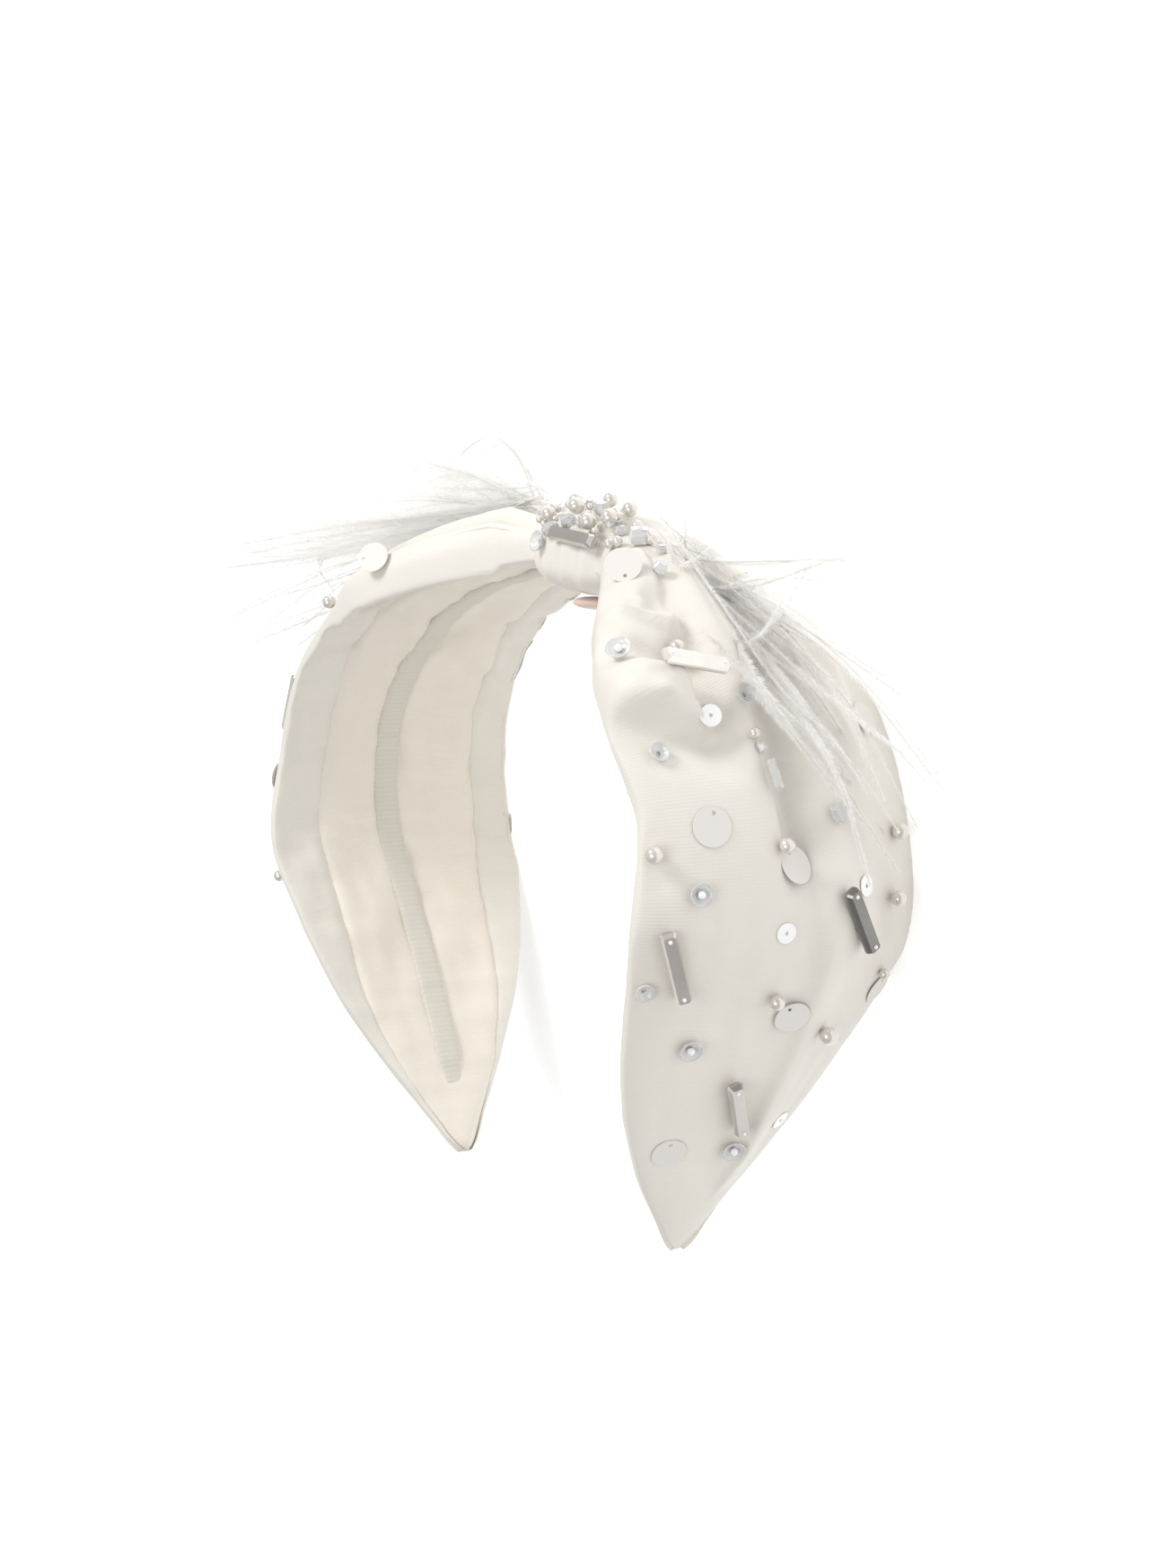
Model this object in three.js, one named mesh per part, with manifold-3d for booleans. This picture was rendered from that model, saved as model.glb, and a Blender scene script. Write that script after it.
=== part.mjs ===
// Knotted satin headband with two feather plumes and sewn-on trims.
// It is modelled as worn, X across the head, Y to the back and Z up, then laid on its back edge.
// All sizes are in millimetres.
import * as THREE from "three";
import { mergeVertices } from "three/addons/utils/BufferGeometryUtils.js";
import ManifoldModule from "manifold-3d";

// Middle line of the band: a flat-topped arch, a bend at the ears and a straight run to each tip.
const ARCH = { halfWidth: 65.6, rise: 47.8, handle: 0.62, drop: 63, tipHalfGap: 35.5, bendRadius: 33.5 };

// Leg sections by share of the half arch: half width, dome of the middle surface, outer and inner rise.
const LEG = [
  { share: 0.0, half: 22.4, dome: 2.6, outer: 3.6, inner: 2.9 },
  { share: 0.3, half: 23.0, dome: 2.7, outer: 3.4, inner: 2.8 },
  { share: 0.38, half: 23.6, dome: 2.8, outer: 3.0, inner: 2.5 },
  { share: 0.48, half: 23.6, dome: 2.8, outer: 2.7, inner: 2.4 },
  { share: 0.6, half: 25.6, dome: 3.0, outer: 2.6, inner: 2.4 },
  { share: 0.7, half: 23.0, dome: 2.6, outer: 2.5, inner: 2.3 },
  { share: 0.8, half: 18.4, dome: 1.8, outer: 2.3, inner: 2.1 },
  { share: 0.89, half: 11.3, dome: 0.8, outer: 2.0, inner: 1.8 },
  { share: 0.96, half: 5.2, dome: 0.2, outer: 1.6, inner: 1.4 },
  { share: 0.99, half: 2.6, dome: 0.0, outer: 1.1, inner: 1.0 },
  { share: 1.0, half: 1.0, dome: 0.0, outer: 0.7, inner: 0.7 },
];

// How much further the right leg's front edge lies out and its back edge lies in.
const SWING = [
  { share: 0.0, front: 0.0, behind: 0.0 },
  { share: 0.3, front: 0.3, behind: 0.0 },
  { share: 0.4, front: 1.9, behind: 0.0 },
  { share: 0.5, front: 0.2, behind: 0.0 },
  { share: 0.6, front: 0.0, behind: 0.0 },
  { share: 0.7, front: 0.2, behind: 0.8 },
  { share: 0.8, front: 0.6, behind: 2.2 },
  { share: 0.9, front: 1.4, behind: 2.6 },
  { share: 1.0, front: 0.4, behind: 0.6 },
];

// The knot sits a little to the right of the middle; the band is gathered to a round bundle there.
const KNOT = { at: 0.062, back: 2.0, half: 7.3, outer: 6.4, inner: 1.6, wrapHalf: 11, gather: 36 };
const WRAP = { clear: 0.5, wall: 1.4, drop: 4.0, rim: 0.6, steps: 24 };
const PAD = { halfLength: 5.2, halfWidth: 3.8, halfDepth: 1.1, angle: 262 };

const WALL = 1.0;
const GAP = 0.3;
const FULLNESS = 0.75;
const SEAM = 0.62;
const TIP_SEAM = 0.08;
const LINING_END = 0.93;
const RIBBON = { width: 5.4, thickness: 1.3, end: 0.92, clear: 0.35, steps: 43 };
const RIBBON_BOW = { aside: 2.6, at: 0.5, span: 0.17 };
const COVER = { around: 23, along: 21 };
const LINING = { across: 8 };

// Resting: tilt of the arch to the table and how far the soft edges are pressed flat.
const REST = { tilt: THREE.MathUtils.degToRad(3.6), flatten: 1.3 };

// Main folds of the satin, each from one place to another: shares of the half arch and of the half width.
// Widths are at the full half width and narrow with the band.
const FOLDS_RIGHT = [
  { from: [0.2, -0.78], to: [0.36, -0.85], width: 6.5, height: 2.2 },
  { from: [0.27, -0.5], to: [0.42, -0.4], width: 4.2, height: -2.8 },
  { from: [0.366, -0.95], to: [0.38, -0.6], width: 4.8, height: 1.7 },
  { from: [0.412, -0.95], to: [0.418, -0.48], width: 4.4, height: -1.6 },
  { from: [0.22, -0.18], to: [0.4, -0.15], width: 5.5, height: 1.9 },
  { from: [0.41, -0.08], to: [0.52, 0.12], width: 5.0, height: -1.3 },
  { from: [0.45, 0.28], to: [0.6, 0.36], width: 6.0, height: 1.0 },
  { from: [0.545, 0.18], to: [0.86, 0.33], width: 5.0, height: 0.8 },
  { from: [0.14, 0.12], to: [0.3, 0.12], width: 4.0, height: -1.8 },
  { from: [0.14, 0.45], to: [0.34, 0.42], width: 5.0, height: 1.8 },
  { from: [0.14, 0.8], to: [0.3, 0.74], width: 4.0, height: -1.2 },
];
const FOLDS_LEFT = [
  { from: [0.02, -0.7], to: [0.26, -0.72], width: 5.0, height: 2.0 },
  { from: [0.02, -0.4], to: [0.24, -0.44], width: 4.0, height: -1.8 },
  { from: [0.02, -0.1], to: [0.28, -0.14], width: 5.0, height: 1.9 },
  { from: [0.02, 0.2], to: [0.24, 0.16], width: 4.0, height: -1.7 },
  { from: [0.02, 0.52], to: [0.3, 0.46], width: 5.0, height: 1.8 },
  { from: [0.32, -0.3], to: [0.46, -0.1], width: 6.0, height: 1.2 },
  { from: [0.36, 0.5], to: [0.5, 0.4], width: 5.0, height: -1.1 },
  { from: [0.5, 0.1], to: [0.78, 0.2], width: 6.0, height: 0.8 },
];
const FOLDS_INSIDE = [
  { from: [0.28, 0.42], to: [0.4, 0.5], width: 6.0, height: 0.8 },
  { from: [0.36, -0.5], to: [0.48, -0.42], width: 6.0, height: 0.7 },
  { from: [0.52, 0.45], to: [0.62, 0.5], width: 6.0, height: 0.7 },
  { from: [0.6, -0.45], to: [0.72, -0.48], width: 6.0, height: 0.7 },
];
const FULL_HALF = 24;

// Sewn-on trims: arch position (right leg positive), share of the half width, turn in degrees, size, lift.
const BAR = { width: 2.4, height: 1.7, corner: 0.5, table: 0.55 };
const DISC = { thickness: 0.5, sides: 12, hole: 0.4, holeSides: 5, rimToHole: 0.95, large: 2.2 };
const CUP = { height: 1.1, sides: 8 };
const BUGLE = { radius: 0.65 };
const TRIMS = [
  { name: "bar_front_top", kind: "bar", u: 0.366, v: -0.56, turn: 90, size: 11.8, lift: 0 },
  { name: "bar_back_middle", kind: "bar", u: 0.591, v: 0.35, turn: 31, size: 12, lift: 0 },
  { name: "bar_front_middle", kind: "bar", u: 0.627, v: -0.78, turn: 18, size: 12, lift: 0 },
  { name: "bar_low", kind: "bar", u: 0.793, v: -0.03, turn: 27, size: 11.4, lift: 0 },
  { name: "paillette_by_knot", kind: "disc", u: 0.227, v: -0.77, turn: 0, size: 2.9, lift: 0 },
  { name: "paillette_front", kind: "disc", u: 0.503, v: -0.61, turn: 170, size: 3.0, lift: 0 },
  { name: "paillette_middle", kind: "disc", u: 0.541, v: -0.02, turn: 205, size: 3.0, lift: 0 },
  { name: "paillette_lower", kind: "disc", u: 0.683, v: 0.10, turn: 215, size: 2.8, lift: 0 },
  { name: "paillette_tip", kind: "disc", u: 0.853, v: -0.62, turn: 175, size: 2.8, lift: 0 },
  { name: "paillette_back_edge", kind: "disc", u: 0.683, v: 0.89, turn: 180, size: 2.6, lift: 0 },
  { name: "paillette_back_top", kind: "disc", u: 0.413, v: 0.72, turn: 0, size: 2.6, lift: 0 },
  { name: "sequin_back", kind: "disc", u: 0.566, v: 0.45, turn: 0, size: 1.7, lift: 0 },
  { name: "sequin_middle", kind: "disc", u: 0.600, v: -0.10, turn: 0, size: 1.6, lift: 0 },
  { name: "sequin_low", kind: "disc", u: 0.831, v: 0.70, turn: 0, size: 1.6, lift: 0 },
  { name: "sequin_top", kind: "disc", u: 0.398, v: -0.40, turn: 0, size: 1.7, lift: 0 },
  { name: "cup_front_edge", kind: "cup", u: 0.335, v: -0.89, turn: 0, size: 2.0, lift: 0 },
  { name: "cup_front", kind: "cup", u: 0.561, v: -0.68, turn: 0, size: 1.9, lift: 0 },
  { name: "cup_lower", kind: "cup", u: 0.719, v: -0.59, turn: 0, size: 1.9, lift: 0 },
  { name: "cup_low", kind: "cup", u: 0.851, v: 0.18, turn: 0, size: 1.9, lift: 0 },
  { name: "crystal_back", kind: "stone", u: 0.501, v: 0.32, turn: 20, size: 3.0, lift: 0 },
  { name: "bugle_middle", kind: "bugle", u: 0.463, v: -0.11, turn: 4, size: 4.8, lift: 0 },
  { name: "pearl_top", kind: "pearl", u: 0.328, v: -0.51, turn: 0, size: 1.3, lift: 0 },
  { name: "pearl_front_edge", kind: "pearl", u: 0.524, v: -0.95, turn: 0, size: 1.35, lift: 0 },
  { name: "pearl_middle", kind: "pearl", u: 0.525, v: -0.13, turn: 0, size: 1.2, lift: 0.8 },
  { name: "pearl_back_edge", kind: "pearl", u: 0.521, v: 0.79, turn: 0, size: 1.3, lift: 0 },
  { name: "pearl_back", kind: "pearl", u: 0.581, v: 0.71, turn: 0, size: 1.2, lift: 0 },
  { name: "pearl_lower", kind: "pearl", u: 0.662, v: -0.08, turn: 0, size: 1.2, lift: 0 },
  { name: "pearl_low", kind: "pearl", u: 0.709, v: 0.42, turn: 0, size: 1.4, lift: 0 },
  { name: "left_bar_top", kind: "bar", u: -0.442, v: -0.9, turn: 0, size: 11.8, lift: 0 },
  { name: "left_bar_middle", kind: "bar", u: -0.58, v: 0.35, turn: 25, size: 12, lift: 0 },
  { name: "left_bar_low", kind: "bar", u: -0.76, v: -0.25, turn: 20, size: 11.4, lift: 0 },
  { name: "left_paillette_rim", kind: "disc", u: -0.175, v: -0.93, turn: 0, size: 2.7, lift: 0 },
  { name: "left_paillette_front", kind: "disc", u: -0.53, v: -0.93, turn: 0, size: 2.9, lift: 0 },
  { name: "left_paillette_back", kind: "disc", u: -0.47, v: 0.5, turn: 0, size: 3.0, lift: 0 },
  { name: "left_paillette_low", kind: "disc", u: -0.7, v: 0.3, turn: 0, size: 2.8, lift: 0 },
  { name: "left_pearl_top", kind: "pearl", u: -0.277, v: -0.94, turn: 0, size: 1.2, lift: 0 },
  { name: "left_pearl_middle", kind: "pearl", u: -0.6, v: -0.2, turn: 0, size: 1.3, lift: 0 },
  { name: "left_pearl_edge", kind: "pearl", u: -0.645, v: -0.95, turn: 0, size: 1.1, lift: 0 },
  { name: "left_cup_low", kind: "cup", u: -0.84, v: 0.2, turn: 0, size: 1.9, lift: 0 },
];

// Cluster on the knot: place along the wrap from its middle, angle round it, size, turn.
const CLUSTER_BASE = { from: 60, to: 172, halfLength: 9.6, clear: 0.3, thickness: 0.8 };
const CLUSTER = [
  { kind: "bar", along: 4.4, angle: 157, size: 12.6, turn: 1 },
  { kind: "stone", along: -2.6, angle: 154, size: 2.8, turn: 20 },
  { kind: "stone", along: 0.6, angle: 141, size: 2.4, turn: 40 },
  { kind: "stone", along: -8.6, angle: 130, size: 3.0, turn: 25 },
  { kind: "stone", along: 3.4, angle: 110, size: 2.6, turn: 15 },
  { kind: "cup", along: -5.6, angle: 167, size: 1.8, turn: 0 },
  { kind: "pearl", along: -5.4, angle: 138, size: 1.3, turn: 0 },
  { kind: "pearl", along: -0.8, angle: 122, size: 1.4, turn: 0 },
  { kind: "pearl", along: 6.4, angle: 138, size: 1.4, turn: 0 },
  { kind: "pearl", along: 9.0, angle: 124, size: 1.4, turn: 0 },
  { kind: "pearl", along: 8.2, angle: 98, size: 1.3, turn: 0 },
  { kind: "pearl", along: -4.6, angle: 108, size: 1.3, turn: 0 },
  { kind: "pearl", along: 0.0, angle: 88, size: 1.3, turn: 0 },
];

// Plumes: root on the band, then each lock's width and the places that it passes through, in mm as worn.
const PLUME = { head: [4.6, 4.0, 2.0], sides: 5, steps: 6, flat: 0.36, root: 0.4, tip: 0.1 };
const PLUME_RIGHT = {
  root: { u: 0.19, v: -0.1 },
  locks: [
    { width: 6.5, through: [[46.9, -0.3, 48.4], [52.9, 6.9, 46.4], [56.5, 17.5, 48.5]] },
    { width: 7.5, through: [[54.6, 1.1, 42.8], [65.1, 11.0, 33.8], [80.3, 17.5, 25.5]] },
    { width: 8.5, through: [[57.3, -1.6, 39.2], [66.6, 9.2, 28.5], [79.5, 17.5, 15.4]] },
    { width: 9.5, through: [[56.5, -2.5, 39.6], [66.9, 5.2, 26.2], [73.0, 17.0, 10.6]] },
    { width: 9.5, through: [[56.7, -6.4, 38.6], [67.0, -0.4, 24.2], [71.2, 7.6, 12.1], [71.2, 16.0, 1.4]] },
    { width: 8.5, through: [[55.9, -8.2, 39.1], [63.2, -5.0, 30.2], [69.4, 5.6, 17.7], [72.2, 10.6, 3.1]] },
    { width: 8.5, through: [[53.4, -9.6, 40.9], [60.9, -9.2, 32.2], [66.2, -4.6, 25.7]] },
  ],
};
const PLUME_LEFT = {
  root: { u: -0.05, v: -0.1 },
  locks: [
    { width: 3.5, through: [[-18.9, -1, 64.3], [-24.9, -3, 68.0], [-29.5, -5, 65.4], [-34.4, -6, 61.2]] },
    { width: 10.0, through: [[-29.8, -4, 59.2], [-47, -7.5, 58.9], [-62, -10.5, 55], [-78.5, -12.5, 50]] },
    { width: 10.0, through: [[-34.2, -5.5, 56.5], [-58.2, -12, 52.9], [-91, -24, 48.2]] },
    { width: 10.0, through: [[-32.0, -6, 54.8], [-53.5, -14, 48.5], [-66.5, -21, 42.7], [-79, -27, 35.0]] },
    { width: 8.5, through: [[-27.2, -7, 53.6], [-43.6, -14, 47.6], [-59.5, -22, 40.0], [-80, -32, 27.7]] },
    { width: 9.5, through: [[-42, -5, 57.8], [-62, -14, 51.3], [-74, -22, 42.4], [-87, -25, 30.0]] },
    { width: 9.0, through: [[-23.0, -4, 56.0], [-36.5, -8, 52.6], [-54.0, -12, 46.8]] },
  ],
};

const cloth = (color) => new THREE.MeshStandardMaterial({ color, roughness: 0.55, metalness: 0 });
const MATERIALS = {
  satin: cloth(0xe9e4da),
  lining: cloth(0xe2dbcf),
  ribbon: cloth(0xc9c5ba),
  blush: cloth(0xe2c9bf),
  feather: new THREE.MeshStandardMaterial({ color: 0xf6f5f2, roughness: 0.9, metalness: 0 }),
  bar: new THREE.MeshStandardMaterial({ color: 0xa9a8a4, roughness: 0.15, metalness: 0.8 }),
  disc: new THREE.MeshStandardMaterial({ color: 0xe4dfd6, roughness: 0.25, metalness: 0 }),
  cup: new THREE.MeshStandardMaterial({ color: 0xdedbd4, roughness: 0.1, metalness: 0 }),
  stone: new THREE.MeshStandardMaterial({ color: 0xd6d4d0, roughness: 0.05, metalness: 0.1 }),
  pearl: new THREE.MeshStandardMaterial({ color: 0xd2c8b8, roughness: 0.2, metalness: 0.3 }),
};

const wasm = await ManifoldModule();
wasm.setup();

// The right half of the middle line in the XZ plane.
function archHalf() {
  const { halfWidth, rise, handle, drop, tipHalfGap, bendRadius } = ARCH;
  const centre = halfWidth - bendRadius;
  const across = centre - tipHalfGap;
  const straight = Math.sqrt(across ** 2 + drop ** 2 - bendRadius ** 2);
  const slant = Math.atan2(across, drop) + Math.atan2(bendRadius, straight);
  const point = (x, z) => new THREE.Vector2(x, z);
  const path = new THREE.CurvePath();
  path.add(new THREE.CubicBezierCurve(
    point(0, rise), point(handle * halfWidth, rise), point(halfWidth, handle * rise), point(halfWidth, 0)));
  path.add(new THREE.EllipseCurve(centre, 0, bendRadius, bendRadius, 0, -slant, true));
  path.add(new THREE.LineCurve(
    point(centre + bendRadius * Math.cos(slant), -bendRadius * Math.sin(slant)), point(tipHalfGap, -drop)));
  return path;
}
const HALF = archHalf();
const LENGTH = HALF.getLength();

// Point of the middle line and its outward normal at arch position u, from -1 at the left tip to 1.
function archAt(u) {
  const side = u < 0 ? -1 : 1;
  const share = Math.min(Math.abs(u), 1);
  const here = HALF.getPoint(share);
  const ahead = HALF.getPoint(Math.min(share + 0.002, 1));
  const behind = HALF.getPoint(Math.max(share - 0.002, 0));
  const tangent = ahead.sub(behind).normalize();
  return {
    point: new THREE.Vector3(side * here.x, 0, here.y),
    normal: new THREE.Vector3(-side * tangent.y, 0, tangent.x),
  };
}

// Smooth value of one column of a table, without overshoot between its rows.
function column(table, name, at) {
  const x = table.map((row) => row.share);
  const y = table.map((row) => row[name]);
  const width = x.slice(1).map((value, i) => value - x[i]);
  const rate = width.map((value, i) => (y[i + 1] - y[i]) / value);
  const slope = y.map((value, i) => {
    if (i === 0) return rate[0];
    if (i === y.length - 1) return rate[i - 1];
    if (rate[i - 1] * rate[i] <= 0) return 0;
    const first = 2 * width[i] + width[i - 1];
    const second = width[i] + 2 * width[i - 1];
    return (first + second) / (first / rate[i - 1] + second / rate[i]);
  });
  let k = 0;
  while (k < width.length - 1 && at > x[k + 1]) k += 1;
  const t = THREE.MathUtils.clamp((at - x[k]) / width[k], 0, 1);
  const s = 1 - t;
  return y[k] * s * s * (1 + 2 * t) + y[k + 1] * t * t * (3 - 2 * t)
    + width[k] * (slope[k] * t * s * s - slope[k + 1] * t * t * s);
}

// Section of the band at u, narrowing to the round bundle in the knot.
function sectionAt(u) {
  const share = Math.abs(u);
  const distance = Math.max(Math.abs(u - KNOT.at) * LENGTH - KNOT.wrapHalf, 0);
  const spread = Math.min(distance / KNOT.gather, 1);
  const open = (THREE.MathUtils.smoothstep(spread, 0, 1) + 1 - (1 - spread) ** 2) / 2;
  const front = u > 0 ? column(SWING, "front", share) : 0;
  const behind = u > 0 ? column(SWING, "behind", share) : 0;
  const blend = (name) => THREE.MathUtils.lerp(KNOT[name], column(LEG, name, share), open);
  return {
    half: blend("half") + (front - behind) / 2,
    outer: blend("outer"),
    inner: blend("inner"),
    dome: column(LEG, "dome", share) * open,
    back: KNOT.back * (1 - open) - (front + behind) / 2,
    foldShare: Math.min(distance / 8, 1),
  };
}

// Sum of the folds at a place, measured on the flat cloth.
function foldHeight(folds, u, v, half) {
  const place = new THREE.Vector3(Math.abs(u) * LENGTH, v * half, 0);
  const near = new THREE.Vector3();
  return folds.reduce((sum, fold) => {
    const start = new THREE.Vector3(fold.from[0] * LENGTH, fold.from[1] * half, 0);
    const end = new THREE.Vector3(fold.to[0] * LENGTH, fold.to[1] * half, 0);
    new THREE.Line3(start, end).closestPointToPoint(place, true, near);
    const width = (fold.width * half) / FULL_HALF;
    return sum + fold.height * Math.exp(-((near.distanceTo(place) / width) ** 2));
  }, 0);
}

// Point of the band's skin at u; turn goes round the section from the back edge over the outer side.
function skin(u, turn, inset) {
  const section = sectionAt(u);
  const lateral = Math.cos(turn);
  const outward = Math.sin(turn) >= 0;
  const swell = Math.abs(Math.sin(turn)) ** FULLNESS;
  const thin = Math.min(inset, 0.42 * Math.min(section.outer, section.inner));
  const rise = (outward ? section.outer : section.inner) - thin;
  const folds = outward ? (u > KNOT.at ? FOLDS_RIGHT : FOLDS_LEFT) : FOLDS_INSIDE;
  const fold = foldHeight(folds, u, lateral, section.half) * section.foldShare * Math.sqrt(swell);
  const height = (outward ? 1 : -1) * (rise * swell + fold) - section.dome * lateral ** 2;
  const { point, normal } = archAt(u);
  point.addScaledVector(normal, height);
  point.y = section.back + lateral * Math.max(section.half - inset, section.half * 0.4);
  return flatten(point, thin);
}

// Height of a point over the resting plane before the plane's distance is taken off.
const reachOf = (point) => point.y * Math.cos(REST.tilt) + point.z * Math.sin(REST.tilt);
let floorReach = Infinity;

// Presses a point of the soft cloth back to the resting plane.
function flatten(point, inset) {
  const over = reachOf(point) - (floorReach - inset);
  if (over > 0) {
    point.y -= over * Math.cos(REST.tilt);
    point.z -= over * Math.sin(REST.tilt);
  }
  return point;
}

const steps = (count) => Array.from({ length: count }, (_, i) => i / (count - 1));

// Closed solid from rings of points; end caps join each point of a ring to its opposite one.
function loft(rings, closed) {
  const count = rings[0].length;
  const index = [];
  const quad = (a, b, c, d) => index.push(a, b, c, a, c, d);
  const spans = closed ? rings.length : rings.length - 1;
  for (let r = 0; r < spans; r += 1) {
    const here = r * count;
    const next = ((r + 1) % rings.length) * count;
    for (let i = 0; i < count; i += 1) {
      const j = (i + 1) % count;
      quad(here + i, here + j, next + j, next + i);
    }
  }
  if (!closed) {
    const last = (rings.length - 1) * count;
    for (let i = 0; i < count / 2 - 1; i += 1) {
      const k = count - 1 - i;
      quad(i, k, k - 1, i + 1);
      quad(last + i, last + i + 1, last + k - 1, last + k);
    }
  }
  const geometry = new THREE.BufferGeometry();
  const places = rings.flat().flatMap((point) => point.toArray());
  geometry.setAttribute("position", new THREE.Float32BufferAttribute(places, 3));
  geometry.setIndex(index);
  return facingOut(geometry);
}

// Turns a closed surface so that its faces look outward.
function facingOut(geometry) {
  const place = geometry.attributes.position;
  const index = geometry.index.array;
  const [a, b, c] = [new THREE.Vector3(), new THREE.Vector3(), new THREE.Vector3()];
  let volume = 0;
  for (let i = 0; i < index.length; i += 3) {
    a.fromBufferAttribute(place, index[i]);
    b.fromBufferAttribute(place, index[i + 1]);
    c.fromBufferAttribute(place, index[i + 2]);
    volume += a.dot(b.cross(c));
  }
  if (volume < 0) {
    geometry.setIndex(Array.from(index).reverse());
  }
  return geometry;
}

// Joins closed solids into one.
function fuse(geometries) {
  const solids = geometries.map((geometry) => {
    const bare = new THREE.BufferGeometry();
    bare.setAttribute("position", geometry.attributes.position);
    bare.setIndex(geometry.index);
    const merged = mergeVertices(bare, 1e-3);
    return new wasm.Manifold(new wasm.Mesh({
      numProp: 3,
      vertProperties: new Float32Array(merged.attributes.position.array),
      triVerts: new Uint32Array(merged.index.array),
    }));
  });
  const mesh = wasm.Manifold.union(solids).getMesh();
  const geometry = new THREE.BufferGeometry();
  geometry.setAttribute("position", new THREE.BufferAttribute(mesh.vertProperties, 3));
  geometry.setIndex(new THREE.BufferAttribute(mesh.triVerts, 1));
  return geometry;
}

function mesh(name, geometry, material) {
  const made = new THREE.Mesh(geometry, MATERIALS[material]);
  made.name = name;
  made.geometry.computeVertexNormals();
  return made;
}

// Turn of the seam on the inner side; the seams run together towards the tip.
function seamTurn(u) {
  const close = THREE.MathUtils.smoothstep(Math.abs(u), 0.84, 0.96);
  return Math.acos(THREE.MathUtils.lerp(SEAM, TIP_SEAM, close));
}

// Arch positions of the sections of one leg, from the knot to the tip.
function stations(side) {
  const start = KNOT.at + (side * GAP) / LENGTH;
  const rim = KNOT.at + (side * (KNOT.wrapHalf + 0.2)) / LENGTH;
  return [start, ...steps(COVER.along).map((t) => THREE.MathUtils.lerp(rim, side, t ** 1.1))];
}

// Satin cover of one leg: an open C-section that wraps both edges to the inner seams.
function cover(side) {
  const rings = stations(side).map((u) => {
    const seam = seamTurn(u);
    const turns = steps(COVER.around).map((s) => -seam + s * (Math.PI + 2 * seam));
    const outside = turns.map((turn) => skin(u, turn, 0));
    const inside = turns.map((turn) => skin(u, turn, WALL));
    return [...outside, ...inside.reverse()];
  });
  return loft(rings, false);
}

// Lining panel of one leg, between the seams on the inner side.
function lining(side) {
  const start = (KNOT.wrapHalf + 1) / LENGTH;
  const kept = stations(side).filter((u) => Math.abs(u - KNOT.at) > start && Math.abs(u) < LINING_END);
  const rings = kept.map((u) => {
    const { half } = sectionAt(u);
    const seam = Math.acos(Math.max(Math.cos(seamTurn(u)) - GAP / half, 0.05));
    const turns = steps(LINING.across).map((s) => -seam - s * (Math.PI - 2 * seam));
    const head = turns.map((turn) => skin(u, turn, 0));
    const hollow = turns.map((turn) => skin(u, turn, WALL));
    return [...head, ...hollow.reverse()];
  });
  return loft(rings, false);
}

// Ribbon-covered band along the middle of the inside.
function ribbon() {
  const rings = steps(RIBBON.steps).map((t) => {
    const u = THREE.MathUtils.lerp(-RIBBON.end, RIBBON.end, t);
    const { point, normal } = archAt(u);
    const { half, back } = sectionAt(u);
    const wide = Math.min(RIBBON.width / 2, half * 0.7);
    const aside = -RIBBON_BOW.aside * Math.exp(-(((Math.abs(u) - RIBBON_BOW.at) / RIBBON_BOW.span) ** 2));
    const turns = [-1, 0, 1].map((s) => -Math.acos((aside + s * wide) / half));
    const depth = Math.max(...turns.map((turn) => point.clone().sub(skin(u, turn, 0)).dot(normal)));
    const corner = (y, down) => point.clone().addScaledVector(normal, -down).setY(back + aside + y);
    const top = depth + RIBBON.clear;
    const bottom = top + RIBBON.thickness;
    return [corner(-wide, top), corner(wide, top), corner(wide, bottom), corner(-wide, bottom)];
  });
  return loft(rings, false);
}

// Point on the wrap: along it from its middle, angle from the back over the top, off its inner skin.
function wrapPoint(along, angle, off) {
  const { point, normal } = archAt(KNOT.at + along / LENGTH);
  const swell = Math.sign(Math.sin(angle)) * Math.abs(Math.sin(angle)) ** FULLNESS;
  const rise = swell > 0 ? KNOT.outer + WRAP.clear : WRAP.drop;
  point.addScaledVector(normal, (rise + off) * swell);
  point.y = KNOT.back + (KNOT.half + WRAP.clear + off) * Math.cos(angle);
  return point;
}

// Thickness of the wrap, fuller in its middle than at its rims.
const wrapFull = (along) => WRAP.wall + WRAP.rim * (1 - (along / KNOT.wrapHalf) ** 2) - 0.3;

function wrap() {
  const places = [-1, -0.6, 0, 0.6, 1].map((share) => share * (KNOT.wrapHalf - 0.5));
  const rings = Array.from({ length: WRAP.steps }, (_, i) => {
    const angle = (i / WRAP.steps) * 2 * Math.PI;
    const outside = places.map((along) => wrapPoint(along, angle, wrapFull(along)));
    const inside = places.map((along) => wrapPoint(along, angle, 0));
    return [...outside, ...inside.reverse()];
  });
  return loft(rings, true);
}

// Faceted bar: eight-sided outline with bevelled crown, table and foot.
function bar(length, width) {
  const outline = (inset, z) => {
    const x = length / 2 - inset;
    const y = width / 2 - inset;
    const c = BAR.corner;
    const corners = [[x, y - c], [x - c, y], [c - x, y], [-x, y - c]];
    corners.push([-x, c - y], [c - x, -y], [x - c, -y], [x, c - y]);
    return corners.map(([px, py]) => new THREE.Vector3(px, py, z));
  };
  const h = BAR.height;
  return loft([outline(0.2, 0), outline(0, h * 0.25), outline(0, h * 0.5), outline(BAR.table, h)], false);
}

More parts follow.
